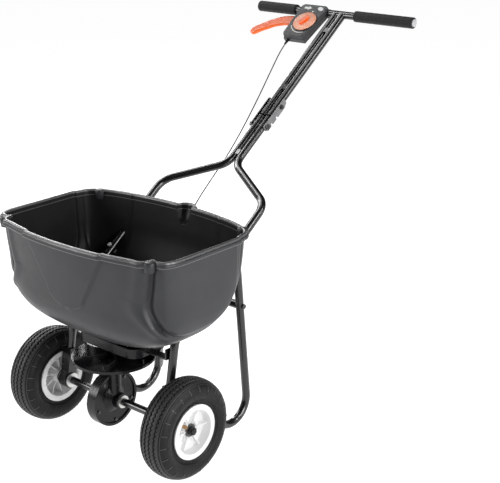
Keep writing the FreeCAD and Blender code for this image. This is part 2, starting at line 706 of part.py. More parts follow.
# ---------------------------------------------------------------- wheels
def tyre(sign):
    """Pneumatic tyre: an outer crown over the casing, open to the rim."""
    centre_r, reach = 99.0, TYRE_OD / 2 - 99.0
    outer, inner = [], []
    for k in range(21):
        angle = math.radians(-38 + 256 * k / 20)
        c, s = math.cos(angle), math.sin(angle)
        wide = TYRE_HALF_WIDTH * math.copysign(abs(c) ** 0.86, c)
        tall = reach * math.copysign(abs(s) ** 0.92, s)
        outer.append(V(wide, 0, AXLE_Z + centre_r + tall))
        inner.append(V(wide * 0.83, 0, AXLE_Z + centre_r + tall * 0.78))
    bead_out = V(33.5, 0, AXLE_Z + 72.2)
    bead_in = V(27.0, 0, AXLE_Z + RIM_R + 0.1)
    flip = [V(-p.x, p.y, p.z) for p in (bead_in, bead_out)]
    curve_out, curve_in = Part.BSplineCurve(), Part.BSplineCurve()
    curve_out.interpolate(outer)
    curve_in.interpolate(inner)
    join = [Part.LineSegment(inner[0], bead_in).toShape(),
            Part.LineSegment(bead_in, V(33.5, 0, AXLE_Z + RIM_R + 0.1)).toShape(),
            Part.LineSegment(V(33.5, 0, AXLE_Z + RIM_R + 0.1), outer[0]).toShape(),
            curve_out.toShape(),
            Part.LineSegment(outer[-1], V(-33.5, 0, AXLE_Z + RIM_R + 0.1)).toShape(),
            Part.LineSegment(V(-33.5, 0, AXLE_Z + RIM_R + 0.1), flip[0]).toShape(),
            Part.LineSegment(flip[0], inner[-1]).toShape(), curve_in.toShape()]
    face = Part.Face(Part.Wire(Part.__sortEdges__(join)))
    body = face.revolve(V(0, 0, AXLE_Z), X_AXIS, 360)
    body.translate(V(sign * WHEEL_X, 0, 0))
    return Part.Solid(body) if body.ShapeType != "Solid" else body


def wheel_rim(sign):
    """Moulded rim: barrel with flanges, web, hub, six outer and ten inner ribs."""
    profile = [(-HUB_INNER, 13), (-HUB_INNER, 20), (4, 22), (4, 62), (-36, 62), (-37.5, 71),
               (-34, 71), (-34, RIM_R), (34, RIM_R), (34, 71), (37.5, 71), (36, 62), (9, 62),
               (9, 22), (HUB_OUTER, 20), (HUB_OUTER, 13)]
    points = [V(x, 0, AXLE_Z + r) for x, r in profile]
    body = turned(points, V(0, 0, AXLE_Z), X_AXIS)
    for k in range(6):
        rib = block(8, 22, -2.5, 2.5, AXLE_Z + 19, AXLE_Z + 63)
        rib.rotate(V(0, 0, AXLE_Z), X_AXIS, 30 + 60 * k)
        body = body.fuse(rib)
    for k in range(10):
        rib = block(-28, 5, -1.5, 1.5, AXLE_Z + 19, AXLE_Z + 63)
        rib.rotate(V(0, 0, AXLE_Z), X_AXIS, 36 * k)
        body = body.fuse(rib)
    if sign < 0:
        body = body.mirror(V(0, 0, 0), X_AXIS)
    body.translate(V(sign * WHEEL_X, 0, 0))
    if sign > 0:
        body = drilled(body, V(WHEEL_X - 17, 0, AXLE_Z - 40), Z_AXIS, 2.5, 80)
    return tidy(body)


def hub_bushes(sign):
    """Flanged bushes in both ends of the hub; the outer end lies deeper in the wheel."""
    pair = []
    for side, reach in ((-sign, HUB_INNER + BUSH_HEAD), (sign, HUB_OUTER + BUSH_HEAD)):
        inward = V(-side, 0, 0)
        base = V(sign * WHEEL_X + side * reach, 0, AXLE_Z)
        body = rod(base, inward, 17, BUSH_HEAD).fuse(rod(base, inward, 12.95, 16))
        pair.append(tidy(drilled(body, base - inward, inward, AXLE_R + RUN_FIT, 40)))
    return pair


def spacer(sign):
    hub_end = WHEEL_X - HUB_INNER - BUSH_HEAD - 0.4
    low, high = sorted((sign * (SIDE_X + 13.4), sign * hub_end))
    return ring(V(low, 0, AXLE_Z), X_AXIS, 16, AXLE_R + RUN_FIT, high - low)


def hub_cap(sign):
    """Push-on cap over the end of the axle."""
    face_x = WHEEL_X + HUB_OUTER + BUSH_HEAD + 0.3
    base, out = V(sign * face_x, 0, AXLE_Z), V(sign, 0, 0)
    body = rod(base, out, HUB_CAP_R, 10)
    body = body.fuse(Part.makeCone(HUB_CAP_R, HUB_CAP_R - 3, 3.5, base + out * 10, out))
    return tidy(drilled(body, base, out, AXLE_R + RUN_FIT, AXLE_HALF - face_x + 0.2))


def valve_stem(sign):
    """Valve standing inwards from the barrel of the rim, on its outer side."""
    direction = V(0, -math.cos(math.radians(39)), math.sin(math.radians(39)))
    base = V(sign * (WHEEL_X + 27), 0, AXLE_Z) + direction * 61.2
    body = rod(base, direction * -1, 5, 14).fuse(rod(base, direction * -1, 3.6, 38))
    return tidy(body)


# ---------------------------------------------------------------- handle
def upper_handle_tube(sign):
    body = ring(V(sign * TWIN_X, UPPER_TUBE_START_S, 0), Y_AXIS, TUBE_R, TUBE_R - TUBE_WALL,
                TBAR_S - UPPER_TUBE_START_S)
    body = body.cut(rod(V(-60, TBAR_S, 0), X_AXIS, TUBE_R, 120))
    body = drilled(body, V(-60, PLATE_BOLT_S, 0), X_AXIS, 3.6, 120)
    body = max(body.Solids, key=lambda s: s.Volume)
    return to_handle(body)


def handlebar():
    body = rod(V(TBAR_LEFT, TBAR_S, 0), X_AXIS, TUBE_R, TBAR_RIGHT - TBAR_LEFT)
    inside = rod(V(TBAR_LEFT - 1, TBAR_S, 0), X_AXIS, TUBE_R - TUBE_WALL, 600)
    return to_handle(body.cut(inside))


def grip(sign):
    length = GRIP_LENGTHS[sign]
    start = TBAR_LEFT - 4 if sign < 0 else TBAR_RIGHT + 4 - length
    return to_handle(ring(V(start, TBAR_S, 0), X_AXIS, GRIP_R, TUBE_R + 0.05, length))


def grip_plug(sign):
    end = TBAR_LEFT if sign < 0 else TBAR_RIGHT
    out = V(sign, 0, 0)
    head = rod(V(end, TBAR_S, 0), out, TUBE_R, 6)
    stem = rod(V(end - sign * 16, TBAR_S, 0), out, TUBE_R - TUBE_WALL - 0.05, 17)
    return to_handle(tidy(head.fuse(stem)))


PLATE_X = TWIN_X + TUBE_R + 0.3
PLATE_THICK = 3.0


def fold_plate_left():
    """Plain plate on the left of the handle tubes, with rounded ends."""
    x = -PLATE_X - PLATE_THICK
    body = block(x, x + PLATE_THICK, PIVOT_S, 240, -10, 10)
    for s in (PIVOT_S, 240.0):
        body = body.fuse(rod(V(x, s, 0), X_AXIS, 10, PLATE_THICK))
    body = drilled(body, V(-60, PIVOT_S, 0), X_AXIS, 4.05, 60)
    return to_handle(tidy(drilled(body, V(-60, PLATE_BOLT_S, 0), X_AXIS, 3.6, 60)))


def fold_plate_right():
    """Plate on the right with two notches along its lower edge."""
    x = PLATE_X
    outline = [(139, 9), (139, -7), (148, -14), (165, -14), (167, -6.5), (171, -6.5),
               (173, -14), (191, -14), (193, -6.5), (198, -6.5), (200, -14), (236, -13.5),
               (250, -6.5), (250, 9)]
    body = prism([V(x, s, off) for s, off in outline], V(PLATE_THICK, 0, 0))
    body = drilled(body, V(0, PIVOT_S, 0), X_AXIS, 4.05, 60)
    return to_handle(tidy(drilled(body, V(0, PLATE_BOLT_S, 0), X_AXIS, 3.6, 60)))


def fold_pivot_bolt():
    """Hinge bolt of the folding handle, clear of the plates by a running fit."""
    out = PLATE_X + PLATE_THICK + 0.4
    head = hexagon(V(-out - 5, PIVOT_S, 0), X_AXIS, 7, 5)
    shank = rod(V(-out - 1, PIVOT_S, 0), X_AXIS, 4, 2 * out + 8)
    nut = hexagon(V(out, PIVOT_S, 0), X_AXIS, 7, 6)
    return to_handle(tidy(head.fuse(shank).fuse(nut)))


def plate_bolt():
    start = V(-PLATE_X - PLATE_THICK, PLATE_BOLT_S, 0)
    return to_handle(bolt(start, X_AXIS, 3.5, 2 * (PLATE_X + PLATE_THICK)))


# ---------------------------------------------------------------- control box
def box_outline(grow):
    """Plan of the box: straight left side, right side tapering in towards the bottom."""
    return [(-132 - grow, BOX_TOP_S + grow), (-38 + grow, BOX_TOP_S + grow),
            (-54 + grow, BOX_BOTTOM_S - grow), (-130 - grow, BOX_BOTTOM_S - grow)]


def box_prism(grow, off0, off1):
    return prism([V(x, s, off0) for x, s in box_outline(grow)], V(0, 0, off1 - off0))


def box_opened(body):
    """Holes that both halves share: handlebar, lever slot and cable entry."""
    body = body.cut(rod(V(-200, TBAR_S, 0), X_AXIS, TUBE_R, 300))
    body = body.cut(block(-150, -118, 530, 584, LEVER_OFF - 1, LEVER_OFF + LEVER_THICK + 1))
    body = drilled(body, V(CABLE_X, BOX_BOTTOM_S - 10, CABLE_OFF), Y_AXIS, 3.1, 20)
    return to_handle(tidy(max(body.Solids, key=lambda s: s.Volume)))


def box_base():
    """Back half, with a saddle round the handlebar and the post of the lever's pin."""
    body = box_prism(0, BOX_OFF0, BOX_SPLIT - 0.05)
    hollow = box_prism(-BOX_WALL, BOX_OFF0 + BOX_WALL, BOX_SPLIT)
    saddle = rod(V(-131, TBAR_S, 0), X_AXIS, TUBE_R + BOX_WALL, 92)
    saddle = saddle.cut(block(-140, -20, 560, 640, BOX_SPLIT - 0.05, 20))
    body = body.cut(hollow).fuse(saddle)
    pin_hole = rod(V(LEVER_X, LEVER_S, BOX_OFF0), Z_AXIS, 3, BOX_WALL)
    return box_opened(body.cut(pin_hole))


def box_cover():
    body = box_prism(0, BOX_SPLIT, BOX_OFF1)
    body = body.cut(box_prism(-BOX_WALL, BOX_SPLIT - 1, BOX_OFF1 - BOX_WALL))
    body = body.fuse(rod(V(DIAL_X, DIAL_S, BOX_OFF1 - 1), Z_AXIS, DIAL_R + 2, 3))
    return box_opened(drilled(body, V(DIAL_X, DIAL_S, 0), Z_AXIS, 4.05, 60))


def box_screws():
    screws = []
    for x, s in ((-126.0, 578.0), (-50.0, 578.0), (-124.0, 484.5), (-60.5, 484.5)):
        screws.append(to_handle(rod(V(x, s, BOX_OFF0 - 2.5), Z_AXIS, 3, 2.5)))
    return screws


def rate_dial():
    """Graduated dial with a raised pointer bar and its spindle."""
    face = Part.makeCone(DIAL_R, DIAL_R - 2, 4, V(DIAL_X, DIAL_S, BOX_OFF1 + 2.3), Z_AXIS)
    bar = rounded_plate(DIAL_X - 7, DIAL_X + 7, DIAL_S - 20, DIAL_S + 20,
                        BOX_OFF1 + 5, BOX_OFF1 + 14, 6.5)
    spindle = rod(V(DIAL_X, DIAL_S, BOX_OFF1 - 9), Z_AXIS, 4, 12)
    return to_handle(tidy(face.fuse(bar).fuse(spindle)))


def lever_curve(side):
    """One edge of the lever: +1 is the edge nearer the grip."""
    middle = [(-104, 549, 14), (-128, 553, 16), (-152, 555, 16), (-183, 546, 16),
              (-206, 534, 15.5), (-222, 522, 15.5), (-240, 509, 15), (-253, 496, 14)]
    points = []
    for index, (x, s, half) in enumerate(middle):
        before = middle[max(index - 1, 0)]
        after = middle[min(index + 1, len(middle) - 1)]
        run = V(after[0] - before[0], after[1] - before[1], 0).normalize()
        points.append(V(x, s, LEVER_OFF) + V(run.y, -run.x, 0) * half * side)
    return points


def trigger_lever():
    """Curved hand lever under the left grip."""
    top, bottom = lever_curve(1), lever_curve(-1)
    upper, lower = Part.BSplineCurve(), Part.BSplineCurve()
    upper.interpolate(top)
    lower.interpolate(bottom)
    tip = Part.Arc(top[-1], V(-264, 485, LEVER_OFF), bottom[-1])
    heel = Part.LineSegment(bottom[0], top[0])
    wire = Part.Wire(Part.__sortEdges__([c.toShape() for c in (upper, tip, lower, heel)]))
    body = Part.Face(wire).extrude(V(0, 0, LEVER_THICK))
    body = body.fuse(rod(V(LEVER_X, LEVER_S, LEVER_OFF), Z_AXIS, 12, LEVER_THICK))
    return to_handle(tidy(drilled(body, V(LEVER_X, LEVER_S, -20), Z_AXIS, 3.05, 40)))


def lever_pin():
    return to_handle(rod(V(LEVER_X, LEVER_S, BOX_OFF0), Z_AXIS, 3, BOX_OFF1 - BOX_OFF0 - 5))


def cable_boot():
    body = Part.makeCone(5, 2.8, BOOT_LENGTH, V(CABLE_X, BOX_BOTTOM_S, CABLE_OFF), V(0, -1, 0))
    body = body.fuse(rod(V(CABLE_X, BOX_BOTTOM_S - 1, CABLE_OFF), Y_AXIS, 3.0, 6))
    return to_handle(tidy(drilled(body, V(CABLE_X, 400, CABLE_OFF), Y_AXIS, CABLE_R + 0.1, 100)))


def cable_route():
    """Route of the control cable, from the boot down behind the hopper to the gate."""
    start = on_handle(CABLE_X, BOX_BOTTOM_S + 4, CABLE_OFF)
    boot_end = on_handle(CABLE_X, BOX_BOTTOM_S - 40, CABLE_OFF)
    return [start, boot_end, V(-100, 747, 865), V(-90, 675, 794), V(-83, 603, 724),
            V(-75, 523, 657), V(-68, 444, 604), V(-62, 372, 550),
            V(-55, 308, 484), V(-47, 250, 410), V(-36, 198, 348), V(-24, 155, 306),
            V(-15, GATE_Y1 + 1.5, GATE_Z1 + 9)]


def control_cable():
    points = cable_route()
    radii = []
    for before, here, after in zip(points[:-2], points[1:-1], points[2:]):
        back, on = before - here, after - here
        turn = math.pi - back.getAngle(on)
        shorter = min(back.Length, on.Length)
        radii.append(0.45 * shorter / math.tan(turn / 2))
    print("cable bend radii", [round(r) for r in radii])
    path = bent_wire(points, radii)
    print("cable length", round(path.Length))
    return sweep(path, points, CABLE_R)


# ---------------------------------------------------------------- assembly
def build():
    os.makedirs("parts", exist_ok=True)
    legs, bores = {}, []
    for side, sign in SIDES.items():
        body, outer = side_tube(sign)
        start = V(sign * 230, STAND_BOLT_Y, stand_bolt_z())
        body = drilled(body, start, V(-sign, 0, 0), 4.1, 60)
        body = drilled(body, V(sign * 230, 0, AXLE_Z) + POST * 70, V(-sign, 0, 0), 4.1, 70)
        body = drilled(body, on_handle(sign * SIDE_X, -348, 30), ACROSS * -1, 3.6, 60)
        body = drilled(body, on_handle(sign * 60, PIVOT_S), V(-sign, 0, 0), 4.1, 60)
        body = drilled(body, support_bolt_place(sign * 150), V(sign, 0, 0), 3.1, 35)
        write("side_tube_" + side, body)
        write("axle_bracket_" + side, axle_bracket(sign))
        legs[side] = stand_leg(sign)
        write("stand_leg_" + side, legs[side][0])
        bores.append(hopper_bore(sign, TUBE_R + 0.3))
    both = list(SIDES.values())
    write("axle_bushes", *[axle_bush(sign) for sign in both])
    write("frame_bolts", *([bracket_bolt(sign) for sign in both]
                           + [support_bolt(sign) for sign in both]
                           + [hopper_tube_bolt(sign) for sign in both]))
    write("yoke_tab", weld_tab(YOKE_TAB_S))
    write("stand_cross_tube", stand_cross_tube(legs["left"][1], legs["right"][1]))
    write("stand_bolts", *([stand_end_bolt(sign) for sign in both]
                           + [stand_top_bolt(sign) for sign in both]))
    write("stand_foot_plugs", *[foot_plug(sign) for sign in both])
    write("stand_braces", *[stand_brace(sign) for sign in both])
    write("support_bars", *[support_bar(sign) for sign in both])

    write("hopper", hopper(bores))
    write("base_tray", base_tray())
    write("shutoff_gate", shutoff_gate())
    write("rear_shield", rear_shield())

    write("axle", rod(V(-AXLE_HALF, 0, AXLE_Z), X_AXIS, AXLE_R, 2 * AXLE_HALF).cut(
        rod(V(WHEEL_X - 17, 0, AXLE_Z - 40), Z_AXIS, 2.5, 80)))
    write("axle_spacers", *[spacer(sign) for sign in both])
    write("drive_pin", rod(V(WHEEL_X - 17, 0, AXLE_Z - 21), Z_AXIS, 2.45, 42))
    write("crown_gear", crown_gear())
    write("pinion", pinion())
    write("gear_housing_left", housing_left())
    write("gear_housing_right", housing_right())
    write("housing_bushes", housing_bush("left"), housing_bush("right"))
    write("housing_screws", *housing_screws())
    write("shaft_bush", shaft_bush())
    write("impeller_shaft", impeller_shaft())
    write("impeller", impeller())
    write("agitator", agitator())

    for side, sign in SIDES.items():
        write("tyre_" + side, tyre(sign))
        write("rim_" + side, wheel_rim(sign))
        write("hub_bushes_" + side, *hub_bushes(sign))
        write("hub_cap_" + side, hub_cap(sign))
        write("valve_stem_" + side, valve_stem(sign))

    for side, sign in SIDES.items():
        write("upper_handle_tube_" + side, upper_handle_tube(sign))
        write("grip_" + side, grip(sign))
    write("grip_plugs", *[grip_plug(sign) for sign in both])
    write("handlebar", handlebar())
    write("handle_tabs", *[weld_tab(s) for s in HANDLE_TABS_S])
    write("plate_bolt", plate_bolt())
    write("fold_plate_left", fold_plate_left())
    write("fold_plate_right", fold_plate_right())
    write("fold_pivot_bolt", fold_pivot_bolt())

    write("control_box_base", box_base())
    write("control_box_cover", box_cover())
    write("control_box_screws", *box_screws())
    write("rate_dial", rate_dial())
    write("trigger_lever", trigger_lever())
    write("lever_pin", lever_pin())
    write("cable_boot", cable_boot())
    write("control_cable", control_cable())


build()
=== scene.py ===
"""Garden spreader: visual model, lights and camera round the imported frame, in metres."""

import json
import math

import bmesh
import bpy
import numpy as np
from mathutils import Matrix, Vector


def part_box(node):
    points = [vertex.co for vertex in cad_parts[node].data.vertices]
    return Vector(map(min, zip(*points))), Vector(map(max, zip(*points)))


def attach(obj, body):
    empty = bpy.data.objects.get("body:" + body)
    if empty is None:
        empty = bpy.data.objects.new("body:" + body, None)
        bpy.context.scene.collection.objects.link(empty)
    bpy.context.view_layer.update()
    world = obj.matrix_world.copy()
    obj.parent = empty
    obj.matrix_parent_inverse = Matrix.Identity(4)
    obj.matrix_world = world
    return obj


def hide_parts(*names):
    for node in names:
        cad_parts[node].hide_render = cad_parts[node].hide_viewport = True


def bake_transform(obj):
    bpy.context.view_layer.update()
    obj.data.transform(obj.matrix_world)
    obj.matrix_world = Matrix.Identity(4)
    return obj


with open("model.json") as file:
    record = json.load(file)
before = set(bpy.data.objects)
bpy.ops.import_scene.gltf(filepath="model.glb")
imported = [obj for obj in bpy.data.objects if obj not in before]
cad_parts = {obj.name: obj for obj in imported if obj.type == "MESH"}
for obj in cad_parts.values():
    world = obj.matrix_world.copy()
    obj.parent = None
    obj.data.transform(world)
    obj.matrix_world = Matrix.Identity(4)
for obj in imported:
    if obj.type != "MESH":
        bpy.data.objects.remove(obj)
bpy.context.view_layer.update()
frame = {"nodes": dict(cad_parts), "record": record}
scene = bpy.context.scene


# ---------------------------------------------------------------- places taken from the frame
def middle_of(node):
    low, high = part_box(node)
    return (Vector(low) + Vector(high)) / 2


AXLE = middle_of("axle")
AXLE = Vector((0.0, AXLE.y, AXLE.z))
WHEEL_X = middle_of("tyre_right").x
TYRE_R = (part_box("tyre_right")[1][2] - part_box("tyre_right")[0][2]) / 2

HANDLE_ANGLE = math.radians(36.3)
HANDLE_FOOT = AXLE + Vector((0, 0.458, 0.531))
ALONG = Vector((0, math.cos(HANDLE_ANGLE), math.sin(HANDLE_ANGLE)))
ACROSS = Vector((0, -math.sin(HANDLE_ANGLE), math.cos(HANDLE_ANGLE)))
BAR_S = 0.599
SIDES = {"left": -1, "right": 1}


def ground(x, y, z):
    """A point measured from the floor under the middle of the axle."""
    return Vector((x, AXLE.y + y, z))


def on_handle(x, s, off=0.0):
    """A point at x, distance s up the handle and off above its middle plane."""
    return HANDLE_FOOT + Vector((x, 0, 0)) + ALONG * s + ACROSS * off


# ---------------------------------------------------------------- mesh helpers
def smooth(value, low, high):
    """0 below low, 1 above high, and a soft step between them."""
    t = np.clip((np.asarray(value, float) - low) / (high - low), 0, 1)
    return t * t * (3 - 2 * t)


def cubic_through(table, run, where):
    """Row of a table at a place on its run, by a smooth curve through the rows."""
    slopes = np.gradient(table, run, axis=0)
    k = int(np.clip(np.searchsorted(run, where) - 1, 0, len(run) - 2))
    step = run[k + 1] - run[k]
    t = (where - run[k]) / step
    a, b = 2 * t ** 3 - 3 * t ** 2 + 1, t ** 3 - 2 * t ** 2 + t
    c, d = -2 * t ** 3 + 3 * t ** 2, t ** 3 - t ** 2
    row = a * table[k] + b * step * slopes[k] + c * table[k + 1] + d * step * slopes[k + 1]
    return row, slopes[k] * (1 - t) + slopes[k + 1] * t


def piece(name, vertices, faces, body, finish, stands_for=(), crease=38.0):
    """Make one mesh object, give it its finish and let it ride on its body."""
    mesh = bpy.data.meshes.new(name)
    mesh.from_pydata([tuple(v) for v in vertices], [], faces)
    work = bmesh.new()
    work.from_mesh(mesh)
    bmesh.ops.remove_doubles(work, verts=work.verts, dist=1e-6)
    bmesh.ops.recalc_face_normals(work, faces=work.faces)
    work.to_mesh(mesh)
    work.free()
    return finished(bpy.data.objects.new(name, mesh), body, finish, stands_for, crease)


def finished(obj, body, finish, stands_for=(), crease=38.0):
    """Give an object its finish and slot, and let it ride on its body."""
    scene.collection.objects.link(obj)
    obj.data.materials.clear()
    obj.data.materials.append(LOOKS[finish])
    obj.data.shade_smooth()
    obj.data.set_sharp_from_angle(angle=math.radians(crease))
    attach(obj, body)
    if stands_for:
        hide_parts(*stands_for)
    return obj


def grid(rows, columns, close_rows=False, close_columns=True):
    """Quads of a grid of vertices stored row by row."""
    faces = []
    for i in range(rows if close_rows else rows - 1):
        for j in range(columns if close_columns else columns - 1):
            a, b = i * columns + j, i * columns + (j + 1) % columns
            c = (i + 1) % rows * columns + (j + 1) % columns
            d = (i + 1) % rows * columns + j
            faces.append((a, b, c, d))
    return faces


def turned(profile, steps, origin, axis, side, lift=None):
    """Closed profile of (along, radius) points turned right round an axis.

    lift(along, radius, angle) may return a changed (along, radius) for each point."""
    up = axis.cross(side)
    points = []
    for along, radius in profile:
        for k in range(steps):
            angle = 2 * math.pi * k / steps
            a, r = lift(along, radius, angle) if lift else (along, radius)
            points.append(origin + axis * a + side * (r * math.cos(angle)) + up * (r * math.sin(angle)))
    return points, grid(len(profile), steps, close_rows=True)


def merged(*parts):
    """Join several (vertices, faces) meshes into one."""
    vertices, faces = [], []
    for some, their_faces in parts:
        start = len(vertices)
        vertices += list(some)
        faces += [tuple(i + start for i in face) for face in their_faces]
    return vertices, faces


def extruded(outline, low, high, place, chamfer_low=0.0, chamfer_high=0.0, segments=3):
    """Prism of a flat outline with rounded edges at each end; place maps (u, v, w) to a point."""
    work = bmesh.new()
    bottom = [work.verts.new((u, v, low)) for u, v in outline]
    top = [work.verts.new((u, v, high)) for u, v in outline]
    count = len(outline)
    lower_face = work.faces.new(list(reversed(bottom)))
    upper_face = work.faces.new(top)
    for k in range(count):
        work.faces.new((bottom[k], bottom[(k + 1) % count], top[(k + 1) % count], top[k]))
    for face, size in ((lower_face, chamfer_low), (upper_face, chamfer_high)):
        if size > 0:
            edges = list(face.edges)
            bmesh.ops.bevel(work, geom=edges, offset=size, segments=segments, profile=0.6,
                            affect="EDGES", clamp_overlap=True)
    work.verts.index_update()
    vertices = [place(v.co.x, v.co.y, v.co.z) for v in work.verts]
    faces = [tuple(v.index for v in face.verts) for face in work.faces]
    work.free()
    return vertices, faces


def rounded_outline(points, radius, steps=6):
    """Round every corner of a closed flat polygon."""
    outline = []
    count = len(points)
    for k in range(count):
        here = Vector(points[k])
        back = (Vector(points[k - 1]) - here).normalized()
        on = (Vector(points[(k + 1) % count]) - here).normalized()
        half = back.angle(on) / 2
        reach = radius / math.tan(half)
        centre = here + (back + on).normalized() * (radius / math.sin(half))
        start, end = here + back * reach - centre, here + on * reach - centre
        turn = start.angle_signed(end)
        for i in range(steps + 1):
            corner = Vector((start.x, start.y))
            corner.rotate(Matrix.Rotation(-turn * i / steps, 2))
            outline.append(tuple(centre + corner))
    return outline


# ---------------------------------------------------------------- finishes
LOOKS = {}


def look(name, colour, rough, metal=0.0, second=None, patch=40.0, rough_swing=0.06, grain=900.0,
         grain_height=0.00004, coat=0.0, coat_rough=0.1, sheen=0.0, specular=0.5):
    """Painted, moulded or plated finish: uneven colour, uneven gloss and a fine surface grain."""
    material = bpy.data.materials.new(name)
    material.use_nodes = True
    nodes, links = material.node_tree.nodes, material.node_tree.links
    shader = nodes["Principled BSDF"]
    shader.inputs["Metallic"].default_value = metal
    shader.inputs["Coat Weight"].default_value = coat
    shader.inputs["Coat Roughness"].default_value = coat_rough
    shader.inputs["Sheen Weight"].default_value = sheen
    shader.inputs["Specular IOR Level"].default_value = specular
    place = nodes.new("ShaderNodeTexCoord").outputs["Object"]

    def noise(scale, detail):
        node = nodes.new("ShaderNodeTexNoise")
        node.inputs["Scale"].default_value = scale
        node.inputs["Detail"].default_value = detail
        links.new(place, node.inputs["Vector"])
        return node.outputs["Fac"]

    def spread(source, low, high, to_low, to_high):
        node = nodes.new("ShaderNodeMapRange")
        for socket, value in zip(("From Min", "From Max", "To Min", "To Max"),
                                 (low, high, to_low, to_high)):
            node.inputs[socket].default_value = value
        links.new(source, node.inputs["Value"])
        return node.outputs["Result"]

    patches = noise(patch, 5.0)
    mix = nodes.new("ShaderNodeMix")
    mix.data_type = "RGBA"
    mix.inputs["A"].default_value = (*colour, 1)
    mix.inputs["B"].default_value = (*(second or [c * 1.25 for c in colour]), 1)
    links.new(spread(patches, 0.35, 0.68, 0.0, 1.0), mix.inputs["Factor"])
    links.new(mix.outputs["Result"], shader.inputs["Base Color"])
    uneven = noise(patch * 3.3, 6.0)
    links.new(spread(uneven, 0.3, 0.7, rough - rough_swing, rough + rough_swing),
              shader.inputs["Roughness"])
    bump = nodes.new("ShaderNodeBump")
    bump.inputs["Strength"].default_value = 1.0
    bump.inputs["Distance"].default_value = grain_height
    links.new(noise(grain, 3.0), bump.inputs["Height"])
    links.new(bump.outputs["Normal"], shader.inputs["Normal"])
    LOOKS[name] = material
    return material


look("powder_coat", (0.0045, 0.0045, 0.005), 0.24, rough_swing=0.03, grain=700, grain_height=0.000001,
     coat=0.35, coat_rough=0.14)
look("grey_paint", (0.15, 0.15, 0.155), 0.36, grain=500, grain_height=0.00004)
look("zinc", (0.78, 0.78, 0.77), 0.32, metal=0.8, second=(0.64, 0.63, 0.61), patch=120, grain=1500,
     grain_height=0.00002)
look("brass", (0.42, 0.24, 0.10), 0.30, metal=1.0, second=(0.30, 0.16, 0.07), patch=200, grain=1500,
     grain_height=0.00002)
look("hopper_plastic", (0.034, 0.035, 0.037), 0.38, patch=14, rough_swing=0.04, grain=1400,
     grain_height=0.00005, second=(0.039, 0.040, 0.042), specular=0.24)
# Rim lip: the lighter grey than the hopper is a painted highlight along the rolled lip; its lower roughness
# and higher specular are real gloss.
look("hopper_rim_painted_highlight", (0.085, 0.086, 0.088), 0.30, patch=30, rough_swing=0.04, grain=1400,
     grain_height=0.000006, second=(0.105, 0.106, 0.108), specular=0.45)
# Inside of the hopper: darker than the outside as painted shade; the moulding is one plastic inside and
# out.
look("hopper_inside_painted_shade", (0.014, 0.014, 0.015), 0.42, patch=14, rough_swing=0.04, grain=1400,
     grain_height=0.00005, second=(0.017, 0.017, 0.018), specular=0.16)
look("black_plastic", (0.007, 0.007, 0.008), 0.27, patch=60, grain=1100, grain_height=0.000008,
     specular=0.3)
look("dark_ring", (0.004, 0.004, 0.004), 0.45, patch=60)
look("box_plastic", (0.042, 0.043, 0.045), 0.42, patch=60, grain=2200, grain_height=0.00006,
     specular=0.3)
look("white_plastic", (0.80, 0.80, 0.80), 0.36, second=(0.76, 0.76, 0.765), patch=30, grain=900,
     grain_height=0.00003)
look("grey_plastic", (0.40, 0.40, 0.41), 0.42, patch=80, grain=1800)
look("white_print", (0.86, 0.86, 0.86), 0.5, second=(0.80, 0.80, 0.80), patch=200)
look("orange_plastic", (0.92, 0.125, 0.014), 0.36, second=(0.98, 0.17, 0.030), patch=50, grain=1300,
     grain_height=0.00004)
look("orange_face", (0.90, 0.36, 0.20), 0.40, second=(0.93, 0.45, 0.29), patch=60, grain=1300,
     grain_height=0.00004)
look("nylon", (0.05, 0.05, 0.052), 0.40, patch=90, grain=1500)
look("tyre_rubber", (0.006, 0.006, 0.0065), 0.48, second=(0.009, 0.009, 0.0095), patch=35, rough_swing=0.08,
     grain=1500, grain_height=0.00008, specular=0.20)
# Tops of the tread ribs: lighter than the grooves as a painted sheen; the tyre is one black rubber.
look("tread_rubber_painted_sheen", (0.026, 0.026, 0.027), 0.50, second=(0.036, 0.036, 0.037), patch=60, grain=1500,
     specular=0.35)
# Shoulder bars: light grey as a painted highlight on the raised bars; the real bars are the tyre's black
# rubber.
look("rib_rubber", (0.080, 0.080, 0.081), 0.50, second=(0.11, 0.11, 0.11), patch=60, grain=1500)
look("nub_rubber", (0.006, 0.006, 0.006), 0.40, patch=60, grain=1500)
look("foam", (0.008, 0.008, 0.009), 0.62, second=(0.012, 0.012, 0.013), patch=160, grain=1700,
     grain_height=0.00020, sheen=0.08, specular=0.20)
look("cable_jacket", (0.004, 0.004, 0.0045), 0.45, patch=150, grain=1500, specular=0.12)


def dress_cad_nodes():
    """CAD pieces that stay get the finish of their slot."""
    slots = {part["node"]: part["material_slot"] for part in frame["record"]["subparts"]}
    for node, obj in frame["nodes"].items():
        finish = {"control_box_base": "box_plastic"}.get(node, slots[node])
        obj.data.materials.clear()
        obj.data.materials.append(LOOKS[finish])


# ---------------------------------------------------------------- hopper
HOPPER_WALL = 0.004
RIM_TOP = 0.600
# height, half width, front, back, bow of the ends and corner power of the outside
HOPPER_LEVELS = [
    (0.303, 0.108, -0.024, 0.088, 0.00, 2.4), (0.322, 0.162, -0.056, 0.115, 0.00, 2.5),
    (0.345, 0.212, -0.093, 0.139, 0.02, 2.8), (0.370, 0.254, -0.121, 0.162, 0.05, 3.3),
    (0.395, 0.275, -0.135, 0.183, 0.09, 4.0), (0.420, 0.283, -0.141, 0.202, 0.13, 5.0),
    (0.450, 0.286, -0.144, 0.220, 0.17, 6.3), (0.490, 0.288, -0.147, 0.236, 0.20, 7.5),
    (0.540, 0.290, -0.151, 0.244, 0.21, 8.5), (0.598, 0.293, -0.155, 0.249, 0.22, 9.0)]
AROUND = 800                  # points round the outline
POCKET_X = 0.024              # middle of the pouring pocket in the back wall
U_BOWL_Z = 0.462              # where the U on the front turns from flanks to bowl
D_STRAIGHT_Z = 0.494          # where the D on the sides stops being straight
